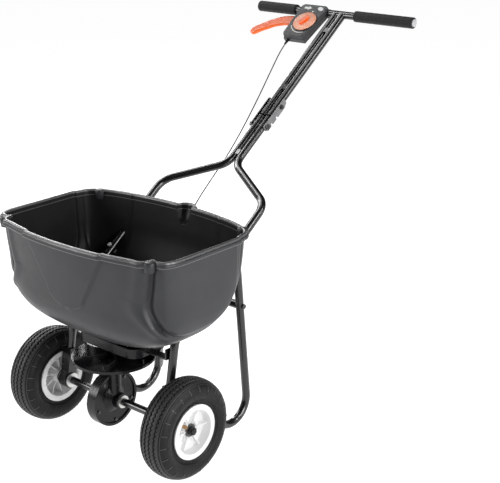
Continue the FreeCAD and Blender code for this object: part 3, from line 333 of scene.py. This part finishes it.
# (distance outside the wall, height) of the rolled rim
LIP_PROFILE = [
    (0.0005, 0.5870), (0.0062, 0.5870), (0.0078, 0.5845), (0.0095, 0.5850), (0.0103, 0.5870),
    (0.0103, 0.5915), (0.0095, 0.5940), (0.0078, 0.5948), (0.0066, 0.5944), (0.0060, 0.5955),
    (0.0056, 0.5985), (0.0038, 0.5999), (0.0008, 0.6000), (-0.0018, 0.5996), (-0.0036, 0.5980),
    (-0.0044, 0.5950)]
# (share of the floor's size, height) of the rings that close the floor round the outlet
FLOOR_RINGS = [(0.6, 0.307), (0.3, 0.307), (0.3, 0.303), (0.6, 0.303)]
FLOOR_MIDDLE_Y = 0.036


def between_levels(z):
    """The outline's sizes at a height, by a smooth curve through the levels."""
    table = np.array(HOPPER_LEVELS)
    return cubic_through(table, table[:, 0], z)[0][1:]


def hopper_ring(z):
    """Evenly spaced points of the outside at a height, with their outward normals."""
    half_x, front, back, bow, power = between_levels(z)
    angle = np.linspace(0, 2 * math.pi, 4001)
    c, s = np.cos(angle), np.sin(angle)
    far = (np.abs(c) ** power + np.abs(s) ** power) ** (-1 / power)
    x = half_x * far * c
    y = (front + back) / 2 + (back - front) / 2 * far * s * (1 - bow * (far * c) ** 2)
    run = np.concatenate([[0], np.cumsum(np.hypot(np.diff(x), np.diff(y)))])
    even = np.linspace(0, run[-1], AROUND, endpoint=False)
    x, y = np.interp(even, run, x), np.interp(even, run, y)
    tx, ty = np.roll(x, -1) - np.roll(x, 1), np.roll(y, -1) - np.roll(y, 1)
    long = np.hypot(tx, ty)
    return x, y, ty / long, -tx / long


def along_line(distance, half_width):
    """1 on a line, fading to 0 away from it."""
    return np.exp(-(distance / half_width) ** 2)


def front_panel(x, z, ny):
    """Raised U on the front wall: straight flanks above a round bowl."""
    half = np.interp(z, [U_BOWL_Z, 0.586], [0.062, 0.134])
    flank = (half - np.abs(x)) * 0.86
    bowl = (1 - np.hypot(x / 0.061, (z - U_BOWL_Z) / 0.033)) * 0.045
    inside = flank if z > U_BOWL_Z else bowl
    return 0.0058 * smooth(-ny, 0.55, 0.8) * smooth(inside, -0.0015, 0.0015)


def side_panel(y, z, nx):
    """Raised D on each side wall, with a channel and a ridge along its front edge."""
    if z > D_STRAIGHT_Z:
        inside = np.minimum(y + 0.105, 0.153 - y)
    else:
        reach = np.abs((y - 0.024) / 0.129) ** 2.5 + ((D_STRAIGHT_Z - z) / 0.106) ** 2.2
        inside = (1 - reach ** (1 / 2.3)) * 0.11
    facing_side = np.abs(nx)
    in_front = smooth(-y, -0.02, 0.04) * smooth(z, 0.375, 0.42)
    raised = 0.0055 * smooth(facing_side, 0.6, 0.85) * smooth(inside, -0.001, 0.008)
    channel = 0.0150 * along_line(inside + 0.006, 0.0050) * smooth(facing_side, 0.15, 0.40)
    ridge = 0.0045 * along_line(inside + 0.0185, 0.0050) * smooth(facing_side, 0.05, 0.30)
    return raised + (ridge - channel) * in_front


def creases(x, y, z, nx, ny):
    """Shallow upright folds in the back wall and near the back of the sides."""
    back = along_line(np.abs(x) - 0.158, 0.0035) * smooth(ny, 0.5, 0.8)
    side = along_line(y - 0.168, 0.0035) * smooth(np.abs(nx), 0.6, 0.85)
    return -0.0022 * smooth(z, 0.40, 0.48) * (back + side)


def relief(x, y, z, nx, ny):
    """How far the moulded shapes stand out from the plain wall."""
    out = front_panel(x, z, ny) + side_panel(y, z, nx) + creases(x, y, z, nx, ny)
    across = ((x - POCKET_X) / 0.027) ** 2
    down = ((0.604 - z) / 0.056) ** 2
    spoon = 0.024 * np.sqrt(np.clip(1 - across - down, 0, None))
    in_pocket = (ny > 0.5) & (np.abs(x - POCKET_X) < 0.03)
    return np.where(in_pocket, np.maximum(out, spoon), out)


def hopper_wall(z, inset, thick_floor=0.0):
    """Ring of the wall at a height, inset from the outside."""
    x, y, nx, ny = hopper_ring(z)
    out = relief(x, y, z, nx, ny) - inset
    return [ground(px, py, z + thick_floor) for px, py in zip(x + nx * out, y + ny * out)]


def hopper_heights():
    """Heights of the rings of the wall, closest together at the foot."""
    low = 0.303 + (0.46 - 0.303) * np.linspace(0, 1, 56) ** 1.25
    high = np.linspace(0.46, 0.586, 54)[1:]
    return list(low) + list(high)


def hopper():
    """Thin-walled tub with a rolled rim: outside wall, rim, inside wall, then the floor."""
    heights = hopper_heights()
    rings = [hopper_wall(z, 0.0) for z in heights]
    x, y, nx, ny = hopper_ring(RIM_TOP - 0.004)
    lean = relief(x, y, 0.585, nx, ny)
    for out, z in LIP_PROFILE:
        stand = lean + out
        rings.append([ground(px, py, z) for px, py in zip(x + nx * stand, y + ny * stand)])
    for z in reversed(heights[1:]):
        rings.append(hopper_wall(z, HOPPER_WALL))
    rings.append(hopper_wall(heights[0], HOPPER_WALL, HOPPER_WALL))
    floor_top = [(p - ground(0, FLOOR_MIDDLE_Y, 0)) for p in rings[-1]]
    for share, z in FLOOR_RINGS:
        rings.append([ground(p.x * share, FLOOR_MIDDLE_Y + p.y * share, z) for p in floor_top])
    vertices = [p for ring in rings for p in ring]
    body = piece("hopper_body", vertices, grid(len(rings), AROUND, close_rows=True), "frame",
                 "hopper_plastic", ["hopper"], crease=42)
    body.data.materials.append(LOOKS["hopper_rim_painted_highlight"])
    body.data.materials.append(LOOKS["hopper_inside_painted_shade"])
    first_inside = len(heights) + len(LIP_PROFILE) - 1
    # Faces on the lip's top and its small step get the painted rim highlight; faces of the inside wall and
    # floor get the painted shade.
    for face in body.data.polygons:
        if face.center.z > 0.5945 or 0.5848 < face.center.z < 0.5875:
            face.material_index = 1
        elif face.index // AROUND >= first_inside:
            face.material_index = 2


# (height, radius) of a lug, turned round its own upright axis
LUG_PROFILE = [(0.5730, 0.0), (0.5730, 0.0095), (0.5745, 0.0120), (0.5830, 0.0128), (0.5838, 0.0138),
               (0.5940, 0.0142), (0.5965, 0.0134), (0.5985, 0.0118), (0.5992, 0.0095), (0.5992, 0.0)]


def rim_lugs():
    """Upright moulded knobs with a stepped foot at the corners of the rim."""
    x, y, nx, ny = hopper_ring(RIM_TOP - 0.004)
    parts = []
    for side_x in (-1, 1):
        for side_y in (-1, 1):
            k = int(np.argmax(x * side_x / 0.293 + (y - 0.047) * side_y / 0.160))
            centre = ground(x[k] + nx[k] * 0.0005, y[k] + ny[k] * 0.0005, 0)
            parts.append(turned(LUG_PROFILE, 40, centre, Vector((0, 0, 1)), Vector((1, 0, 0))))
    piece("hopper_rim_lugs", *merged(*parts), "frame", "hopper_plastic")


# ---------------------------------------------------------------- wheels
SECTION_RISE = 0.031          # from the tyre's widest ring to its crown
TREAD_WAVES = 72
TYRE_STEPS = TREAD_WAVES * 10
TYRE_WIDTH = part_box("tyre_right")[1][0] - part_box("tyre_right")[0][0]


def tyre_profile():
    """(x, radius) points round the section of the tyre, from bead to bead."""
    points = [math.radians(-38 + 58 * k / 40) for k in range(41)]
    points += [math.radians(20 + 140 * k / 110) for k in range(1, 110)]
    points += [math.radians(160 + 58 * k / 40) for k in range(41)]
    section = []
    for angle in points:
        c, s = math.cos(angle), math.sin(angle)
        wide = (TYRE_WIDTH / 2) * math.copysign(abs(c) ** 0.86, c)
        tall = SECTION_RISE * math.copysign(abs(s) ** 0.92, s)
        section.append((wide, TYRE_R - SECTION_RISE + tall))
    return section + [(-0.0335, 0.0722), (-0.027, 0.0685), (0.027, 0.0685), (0.0335, 0.0722)]


def groove(along, angle):
    """Depth of the zigzag grooves round the crown."""
    wave = TREAD_WAVES * angle / (2 * math.pi) % 1
    zigzag = 4 * abs(wave - 0.5) - 1
    sunk = 0.0018 * float(smooth(-abs(abs(along) - 0.0305), -0.0016, -0.0006))
    for middle in (-0.0195, -0.0065, 0.0065, 0.0195):
        gap = abs(along - middle - 0.0020 * zigzag)
        sunk = max(sunk, 0.0032 * float(smooth(-gap, -0.0026, -0.0012)))
    return sunk


def tread_depth(place):
    """Depth of the grooves at a place measured from the wheel's centre."""
    return groove(place.x, math.atan2(place.z, place.y))


def tread(along, radius, angle):
    """Zigzag grooves on the crown and raised rings and bars on the side walls."""
    sunk = groove(along, angle) if radius > TYRE_R - 0.012 else 0.0
    width, raised = abs(along), 0.0
    if width > 0.02:
        for ring_r, height in ((0.1005, 0.0006), (0.0835, 0.0010), (0.0768, 0.0012)):
            raised = max(raised, height * float(smooth(-abs(radius - ring_r), -0.0012, -0.0003)))
    scale = (radius - sunk) / radius
    return along + math.copysign(raised, along), radius * scale


def side_wall(radius):
    """How far the side wall stands out at a radius."""
    s = min(1.0, (radius - (TYRE_R - SECTION_RISE)) / SECTION_RISE) ** (1 / 0.92)
    return TYRE_WIDTH / 2 * math.sqrt(max(0.0, 1 - s * s)) ** 0.86


def side_bar(centre, out, angle):
    """Thin raised bar lying on the shoulder of the tyre, pointing at the axle."""
    radial = Vector((0, math.cos(angle), math.sin(angle)))
    across = Vector((0, -math.sin(angle), math.cos(angle)))
    vertices = []
    for radius in np.linspace(0.1045, 0.1185, 8):
        foot = centre + radial * float(radius) + Vector((out * side_wall(radius), 0, 0))
        lift = Vector((out, 0, 0)) + radial * 0.5
        for sideways, up in ((-0.0006, -0.001), (-0.0004, 0.0009), (0.0004, 0.0009), (0.0006, -0.001)):
            vertices.append(foot + across * sideways + lift * up)
    faces = grid(8, 4, close_rows=False)
    return vertices, faces + [(3, 2, 1, 0), (28, 29, 30, 31)]


def tyre(side, body):
    """Casing with its tread, with nubs and bars on both side walls."""
    centre = AXLE + Vector((WHEEL_X * SIDES[side], 0, 0))
    axis = Vector((1, 0, 0))
    vertices, faces = turned(tyre_profile(), TYRE_STEPS, centre, axis, Vector((0, 1, 0)), tread)
    nubs = []
    for out in (-1, 1):
        for ring_r, count, shift in ((0.0975, 12, 0.1), (0.0875, 18, 0.5), (0.0800, 18, 0.0)):
            rise = (ring_r - (TYRE_R - SECTION_RISE)) / SECTION_RISE
            high = math.sqrt(max(0.0, 1 - rise ** 2))
            stand = TYRE_WIDTH / 2 * high ** 0.9 - 0.0008
            for k in range(count):
                angle = 2 * math.pi * (k + shift) / count
                foot = centre + axis * (out * stand)
                foot += Vector((0, math.cos(angle), math.sin(angle))) * ring_r
                nub = [(0.0, 0.0), (0.0, 0.0013), (0.0020, 0.0011), (0.0028, 0.0)]
                nubs.append(turned(nub, 8, foot, axis * out, Vector((0, 1, 0))))
    bars = []
    for out in (-1, 1):
        for k in range(22):
            bars.append(side_bar(centre, out, 2 * math.pi * k / 22))
    # The shoulder bars carry the painted highlight finish.
    piece("tyre_%s_bars" % side, *merged(*bars), body, "rib_rubber")
    casing = piece("tyre_%s_tread" % side, vertices, faces, body, "tyre_rubber", ["tyre_" + side],
                   crease=50)
    # Rib tops on the crown, outside the grooves, get the painted sheen; the grooves keep the plain dark
    # rubber.
    casing.data.materials.append(LOOKS["tread_rubber_painted_sheen"])
    for face in casing.data.polygons:
        on_crown = (face.center - AXLE).yz.length > TYRE_R - 0.0105
        if on_crown and tread_depth(face.center - centre) < 0.0008:
            face.material_index = 1
    piece("tyre_%s_nubs" % side, *merged(*nubs), body, "nub_rubber")


def rim_outer(radius, angle):
    """How far the outside face stands out: deep hub, six spokes with scallops, broad flange."""
    plate, spokes = 0.0135, 6
    hub = 0.020 if radius < 0.0150 else 0.020 - 0.0065 * float(smooth(radius, 0.0150, 0.0175))
    share = (spokes * angle / (2 * math.pi)) % 1 - 0.5
    turn = share * 2 * math.pi / spokes
    to_spoke = (0.5 - abs(share)) * 2 * math.pi / spokes * radius
    spoke = (0.0080 + 0.10 * (radius - 0.02)) * float(smooth(-to_spoke, -0.0032, -0.0014))
    sx, sy = radius * math.cos(turn) - 0.0305, radius * math.sin(turn)
    arc = 0.0065 * float(smooth(-abs(math.hypot(sx, sy) - 0.0092), -0.0024, -0.0008))
    arc *= float(smooth(-sx, -0.004, 0.002))
    height = max(hub, plate + spoke, plate + arc)
    return height + (0.0375 - height) * float(smooth(radius, 0.0540, 0.0572))


def rim_inner(radius, angle):
    """How far the inside face stands out: ten swept ribs inside a broad flange."""
    plate = 0.004
    if radius < 0.0185:
        return 0.036
    hub = 0.036 - (0.036 + plate) * float(smooth(radius, 0.0180, 0.0215))
    swept = angle + 5.0 * (radius - 0.035)
    petal = 10 * swept / (2 * math.pi) % 1 - 0.5
    across = abs(petal) * 2 * math.pi / 10 * radius
    height = -plate + 0.030 * float(smooth(-across, -0.0026, -0.0012))
    edge = float(smooth(radius, 0.0530, 0.0565))
    height = max(height, hub)
    return height + (0.0375 - height) * edge


def wheel_rim(side, body):
    """White moulded rim, different on its two faces."""
    sign = SIDES[side]
    centre = AXLE + Vector((WHEEL_X * sign, 0, 0))
    steps = 432
    radii = list(np.linspace(0.0125, 0.0625, 64)) + [0.0650, 0.0680, 0.0700, 0.0708]
    profile = [("outer", r) for r in radii]
    profile += [(0.0360, 0.0712), (0.0345, 0.0710), (0.0335, 0.0690), (0.0320, 0.0680),
                (-0.0320, 0.0680), (-0.0335, 0.0690), (-0.0345, 0.0710), (-0.0360, 0.0712)]
    profile += [("inner", r) for r in reversed(radii)]

    def shape(along, radius, angle):
        if along == "outer":
            return rim_outer(radius, angle), radius
        if along == "inner":
            return -rim_inner(radius, angle), radius
        return along, radius

    mesh = turned(profile, steps, centre, Vector((sign, 0, 0)), Vector((0, 1, 0)), shape)
    piece("rim_%s_moulding" % side, *mesh, body, "white_plastic", ["rim_" + side], crease=45)


def hub_cap(side, body):
    """Push-on cap with gripping flutes."""
    sign = SIDES[side]
    base = AXLE + Vector((sign * (WHEEL_X + 0.0223), 0, 0))
    profile = [(0.0, 0.0), (0.0, 0.0116), (0.0008, 0.0119), (0.0020, 0.0117), (0.0032, 0.0106),
               (0.0098, 0.0102), (0.0122, 0.0092), (0.0133, 0.0070), (0.0135, 0.0)]

    def flute(along, radius, angle):
        if along > 0.0035 and radius > 0.009:
            return along, radius - 0.0016 * float(smooth(math.cos(8 * angle), 0.1, 0.9))
        return along, radius

    mesh = turned(profile, 144, base, Vector((sign, 0, 0)), Vector((0, 1, 0)), flute)
    piece("hub_cap_%s_fluted" % side, *mesh, body, "black_plastic", ["hub_cap_" + side])


def valve(side, body):
    """Brass stem and knurled dust cap, pointing in from the rim's barrel."""
    sign = SIDES[side]
    rise = math.radians(39)
    direction = Vector((0, math.cos(rise), -math.sin(rise)))
    base = AXLE + Vector((sign * (WHEEL_X + 0.027), 0, 0)) - direction * 0.0612
    profile = [(0.0, 0.0), (0.0, 0.0050), (0.0015, 0.0052), (0.0120, 0.0046), (0.0140, 0.0036),
               (0.0225, 0.0035), (0.0230, 0.0041), (0.0245, 0.0043), (0.0370, 0.0041), (0.0380, 0.0032),
               (0.0382, 0.0)]

    def knurl(along, radius, angle):
        if along > 0.0240 and radius > 0.0038:
            return along, radius - 0.0004 * (0.5 + 0.5 * math.cos(16 * angle))
        return along, radius

    mesh = turned(profile, 96, base, direction, Vector((1, 0, 0)), knurl)
    piece("valve_%s_capped" % side, *mesh, body, "brass", ["valve_stem_" + side])


# ---------------------------------------------------------------- handle
GRIP_R = 0.016


def grip(side):
    """Foam sleeve with rounded ends."""
    low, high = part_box("grip_" + side)
    length = high[0] - low[0]
    start = on_handle(low[0], BAR_S)
    profile = [(0.0015, 0.01105), (0.0, 0.0120), (0.0003, 0.0144), (0.0015, 0.0156), (0.0036, GRIP_R)]
    for k in range(1, 40):
        along = 0.0036 + (length - 0.0072) * k / 40
        profile.append((along, GRIP_R - 0.00018 * math.sin(8 * math.pi * k / 40) ** 2))
    profile += [(length - 0.0036, GRIP_R), (length - 0.0015, 0.0156), (length - 0.0003, 0.0144),
                (length, 0.0120), (length - 0.0015, 0.01105)]
    mesh = turned(profile, 64, start, Vector((1, 0, 0)), Vector((0, 1, 0)))
    piece("grip_%s_foam" % side, *mesh, "upper_handle", "foam", ["grip_" + side])


DIAL_X, DIAL_S = -0.079, 0.536
BOX_TOP_OFF, BOX_SPLIT_OFF = 0.019, 0.003
BOX_OUTLINE = [(-0.132, 0.610), (-0.130, 0.4785), (-0.054, 0.4785), (-0.038, 0.610)]


def ring_strip(inner, outer, start, end, off_low, off_high, steps=48):
    """Curved flat bar round the dial's centre."""
    outline = []
    for k in range(steps + 1):
        angle = start + (end - start) * k / steps
        outline.append((DIAL_X + outer * math.cos(angle), DIAL_S + outer * math.sin(angle)))
    for k in range(steps, -1, -1):
        angle = start + (end - start) * k / steps
        outline.append((DIAL_X + inner * math.cos(angle), DIAL_S + inner * math.sin(angle)))
    return extruded(outline, off_low, off_high, on_handle)


def icon(points, u, v, scale=1.0):
    """Flat printed mark standing a hair above the cover."""
    outline = [(u + a * scale, v + b * scale) for a, b in points]
    return extruded(outline, BOX_TOP_OFF - 0.001, BOX_TOP_OFF + 0.0002, on_handle)


def control_box():
    """Cover with drafted sides and rounded edges, and a dark well under the dial."""
    middle_u, middle_v = -0.089, 0.544

    def drafted(u, v, w):
        narrow = 1.018 - 0.030 * (w - BOX_SPLIT_OFF) / (BOX_TOP_OFF - BOX_SPLIT_OFF)
        return on_handle(middle_u + (u - middle_u) * narrow, middle_v + (v - middle_v) * narrow, w)

    outline = rounded_outline(BOX_OUTLINE, 0.007)
    lip = extruded(outline, BOX_SPLIT_OFF + 0.0003, BOX_SPLIT_OFF + 0.0030, drafted, 0.0006, 0.0006, 2)
    inner = [(middle_u + (u - middle_u) * 0.985, middle_v + (v - middle_v) * 0.988) for u, v in outline]
    body = extruded(inner, BOX_SPLIT_OFF + 0.0020, BOX_TOP_OFF, drafted, 0.0, 0.0034, 4)
    piece("control_box_top", *merged(lip, body), "upper_handle", "box_plastic", ["control_box_cover"],
          crease=30)
    well = [(0.0, 0.0), (0.0, 0.0380), (0.0016, 0.0380), (0.0026, 0.0372), (0.0026, 0.0)]
    centre = on_handle(DIAL_X, DIAL_S, BOX_TOP_OFF - 0.0005)
    mesh = turned(well, 96, centre, ACROSS, Vector((1, 0, 0)))
    piece("dial_well", *mesh, "upper_handle", "dark_ring")
    arc = ring_strip(0.0415, 0.0440, math.radians(206), math.radians(292), BOX_TOP_OFF - 0.001,
                     BOX_TOP_OFF + 0.0002)
    arrow = icon([(-0.014, -0.004), (0.000, -0.004), (0.000, -0.008), (0.013, 0.0), (0.000, 0.008),
                  (0.000, 0.004), (-0.014, 0.004)], -0.103, 0.594)
    drop = []
    for k in range(40):
        angle = 2 * math.pi * k / 40
        drop.append((0.0100 * math.cos(angle) - 0.003 * math.sin(angle), 0.0075 * math.sin(angle)))
    drop = icon(drop, -0.059, 0.595)
    pointer = icon([(-0.004, 0.004), (0.004, 0.004), (0.0, -0.004)], -0.079, 0.5795)
    piece("box_marks", *merged(arc, arrow, drop, pointer), "upper_handle", "white_print")


def rate_dial():
    """Dial with a bevelled edge, graduations and a raised pointer."""
    top = BOX_TOP_OFF + 0.0063
    profile = [(0.0, 0.0), (0.0, 0.0352), (0.0006, 0.0360), (0.0028, 0.0358), (0.0036, 0.0350),
               (0.0040, 0.0338), (0.0038, 0.0)]

    def knurl(along, radius, angle):
        if 0.0004 < along < 0.0034:
            return along, radius - 0.0005 * (0.5 + 0.5 * math.cos(60 * angle))
        return along, radius

    base = on_handle(DIAL_X, DIAL_S, BOX_TOP_OFF + 0.0023)
    mesh = turned(profile, 240, base, ACROSS, Vector((1, 0, 0)), knurl)
    piece("dial_disc", *mesh, "dial", "orange_face", ["rate_dial"])
    outline = []
    for k in range(64):
        angle = 2 * math.pi * k / 64
        c, s = math.cos(angle), math.sin(angle)
        wide = 0.0090 + 0.0030 * math.cos(2 * angle)
        outline.append((0.0175 * math.copysign(abs(c) ** 0.7, c), wide * math.copysign(abs(s) ** 0.8, s)))
    turn = math.radians(66)
    c, s = math.cos(turn), math.sin(turn)
    rotated = [(DIAL_X + u * c - v * s, DIAL_S + u * s + v * c) for u, v in outline]
    bar = extruded(rotated, top - 0.0006, BOX_TOP_OFF + 0.0135, on_handle, 0, 0.0030, 4)
    hub = turned([(0.0, 0.0), (0.0, 0.0125), (0.0016, 0.0112), (0.0019, 0.0)], 64,
                 on_handle(DIAL_X, DIAL_S, top - 0.0006), ACROSS, Vector((1, 0, 0)))
    parts = [bar, hub]
    for k in range(30):
        angle = 2 * math.pi * k / 30
        long = 0.0046 if k % 5 == 0 else 0.0030
        parts.append(ring_strip(0.0322 - long, 0.0322, angle - 0.014, angle + 0.014, top - 0.0006,
                                top + 0.0003, 2))
    piece("dial_pointer", *merged(*parts), "dial", "orange_plastic")


def trigger_lever():
    """Curved hand lever with rounded edges and finger waves."""
    # x, distance up the handle and half width
    middle = [(-0.104, 0.548, 0.0140), (-0.128, 0.550, 0.0178), (-0.152, 0.5515, 0.0185),
              (-0.183, 0.5445, 0.0172), (-0.206, 0.533, 0.0162), (-0.222, 0.5215, 0.0158),
              (-0.240, 0.508, 0.0152), (-0.254, 0.4945, 0.0145), (-0.2630, 0.4850, 0.0138)]
    table = np.array(middle)
    run = np.concatenate([[0], np.cumsum(np.hypot(np.diff(table[:, 0]), np.diff(table[:, 1])))])
    stations = np.linspace(0, run[-1], 90)
    vertices, columns = [], 28
    for where in stations:
        here, ahead = cubic_through(table, run, where)
        across = Vector((ahead[1], -ahead[0])).normalized()
        from_tip = run[-1] - where
        near = min(1.0, from_tip / 0.011)
        tip = math.sqrt(max(0.0, near * (2 - near)))
        grow = 1 - 0.025 * math.sin(max(0.0, where - 0.05) * 2 * math.pi / 0.040) * (where > 0.05)
        for j in range(columns):
            angle = 2 * math.pi * j / columns
            c, s = math.cos(angle), math.sin(angle)
            u = here[2] * grow * tip * math.copysign(abs(c) ** 0.6, c)
            w = 0.001 + 0.0059 * (0.35 + 0.65 * tip) * math.copysign(abs(s) ** 0.6, s)
            vertices.append(on_handle(here[0] + across.x * u, here[1] + across.y * u, w))
    faces = grid(len(stations), columns, close_rows=False)
    faces.append(tuple(range(columns)))
    faces.append(tuple(reversed(range(len(vertices) - columns, len(vertices)))))
    eye = turned([(0.0, 0.0032), (0.0, 0.0120), (0.0118, 0.0120), (0.0118, 0.0032)], 48,
                 on_handle(-0.104, 0.549, -0.0049), ACROSS, Vector((1, 0, 0)))
    piece("lever_moulding", *merged((vertices, faces), eye), "trigger", "orange_plastic", ["trigger_lever"],
          crease=50)


CABLE_R = 0.0016


def control_cable():
    """Cable from the boot down to the gate, on one fixed curve past where the handle folds."""
    boot_end = on_handle(-0.113, 0.4385, 0.0)
    route = [on_handle(-0.113, 0.4825, 0.0), boot_end, ground(-0.100, 0.747, 0.865),
             ground(-0.090, 0.675, 0.794), ground(-0.083, 0.603, 0.724), ground(-0.075, 0.523, 0.657),
             ground(-0.068, 0.444, 0.604), ground(-0.062, 0.372, 0.550), ground(-0.055, 0.308, 0.484),
             ground(-0.047, 0.250, 0.410), ground(-0.036, 0.198, 0.348), ground(-0.024, 0.155, 0.306),
             ground(-0.015, 0.1195, 0.296)]
    curve = bpy.data.curves.new("control_cable_line", "CURVE")
    curve.dimensions = "3D"
    curve.bevel_depth = CABLE_R
    curve.bevel_resolution = 4
    curve.resolution_u = 24
    curve.use_fill_caps = True
    spline = curve.splines.new("NURBS")
    spline.points.add(len(route) - 1)
    for point, place in zip(spline.points, route):
        point.co = (*place, 1)
    spline.use_endpoint_u = True
    spline.order_u = 3
    line = bpy.data.objects.new("control_cable_line", curve)
    scene.collection.objects.link(line)
    bpy.context.view_layer.update()
    mesh = bpy.data.meshes.new_from_object(line.evaluated_get(bpy.context.evaluated_depsgraph_get()))
    bpy.data.objects.remove(line)
    cable = bpy.data.objects.new("control_cable_sheath", mesh)
    scene.collection.objects.link(cable)
    mesh.materials.clear()
    mesh.materials.append(LOOKS["cable_jacket"])
    mesh.shade_smooth()
    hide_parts("control_cable")
    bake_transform(cable)


# ---------------------------------------------------------------- stage
def studio():
    """White floor and background, soft lights, and two long lights that only add gloss."""
    floor = bpy.data.meshes.new("floor")
    reach = 30.0
    floor.from_pydata([(-reach, -reach, 0), (reach, -reach, 0), (reach, reach, 0), (-reach, reach, 0)], [],
                      [(0, 1, 2, 3)])
    ground_plane = bpy.data.objects.new("floor", floor)
    scene.collection.objects.link(ground_plane)
    white = bpy.data.materials.new("studio_white")
    white.use_nodes = True
    shader = white.node_tree.nodes["Principled BSDF"]
    shader.inputs["Base Color"].default_value = (0.50, 0.50, 0.50, 1)
    shader.inputs["Roughness"].default_value = 0.9
    shader.inputs["Specular IOR Level"].default_value = 0.0
    shader.inputs["Emission Color"].default_value = (1, 1, 1, 1)
    shader.inputs["Emission Strength"].default_value = 0.96
    floor.materials.append(white)

    world = bpy.data.worlds.new("studio")
    world.use_nodes = True
    nodes, links = world.node_tree.nodes, world.node_tree.links
    seen = nodes.new("ShaderNodeLightPath").outputs["Is Camera Ray"]
    level = nodes.new("ShaderNodeMapRange")
    level.inputs["To Min"].default_value = 0.03
    level.inputs["To Max"].default_value = 1.0
    links.new(seen, level.inputs["Value"])
    links.new(level.outputs["Result"], nodes["Background"].inputs["Strength"])
    nodes["Background"].inputs["Color"].default_value = (1, 1, 1, 1)
    scene.world = world
    scene.view_settings.view_transform = "Standard"

    def soft_light(name, place, size, power, gloss_only=False):
        lamp = bpy.data.lights.new(name, "AREA")
        lamp.shape = "RECTANGLE"
        lamp.size, lamp.size_y = size
        lamp.energy = power
        obj = bpy.data.objects.new(name, lamp)
        obj.location = place
        aim = Vector((0, 0, 0.5)) - Vector(place)
        obj.rotation_euler = aim.to_track_quat("-Z", "Y").to_euler()
        obj.visible_diffuse = not gloss_only
        scene.collection.objects.link(obj)

    soft_light("key", (-2.0, -2.8, 1.5), (1.4, 1.4), 62)
    soft_light("right_side", (3.2, -0.9, 1.3), (1.0, 1.6), 62)
    soft_light("top", (-0.8, 0.4, 3.2), (0.5, 2.4), 14)
    soft_light("right_strip", (2.8, 1.4, 2.2), (0.35, 2.6), 40)
    soft_light("back_strip", (-2.6, 1.6, 1.6), (0.5, 2.4), 40)
    soft_light("left_gloss", (-2.4, -0.2, 2.4), (0.40, 3.0), 60, gloss_only=True)
    soft_light("right_gloss", (3.0, 0.2, 1.6), (0.40, 3.0), 60, gloss_only=True)


LENS_TO_WIDTH = 2.334


def camera():
    """Seen from the front right, a little above the hopper's rim."""
    azimuth, pitch = math.radians(40.5), math.radians(19.0)
    lens = bpy.data.cameras.new("camera")
    lens.sensor_width = 36.0
    lens.lens = LENS_TO_WIDTH * lens.sensor_width
    lens.clip_end = 100
    eye = bpy.data.objects.new("camera", lens)
    eye.location = ground(2.038, -1.849, 1.500)
    level = math.cos(pitch)
    towards = Vector((-math.sin(azimuth) * level, math.cos(azimuth) * level, -math.sin(pitch)))
    eye.rotation_euler = towards.to_track_quat("-Z", "Y").to_euler()
    scene.collection.objects.link(eye)
    scene.camera = eye


def build():
    camera()
    studio()
    dress_cad_nodes()
    hopper()
    rim_lugs()
    for side, body in (("left", "free_wheel"), ("right", "drive_axle")):
        tyre(side, body)
        wheel_rim(side, body)
        hub_cap(side, "drive_axle")
        valve(side, body)
        grip(side)
    control_box()
    rate_dial()
    trigger_lever()
    control_cable()


build()
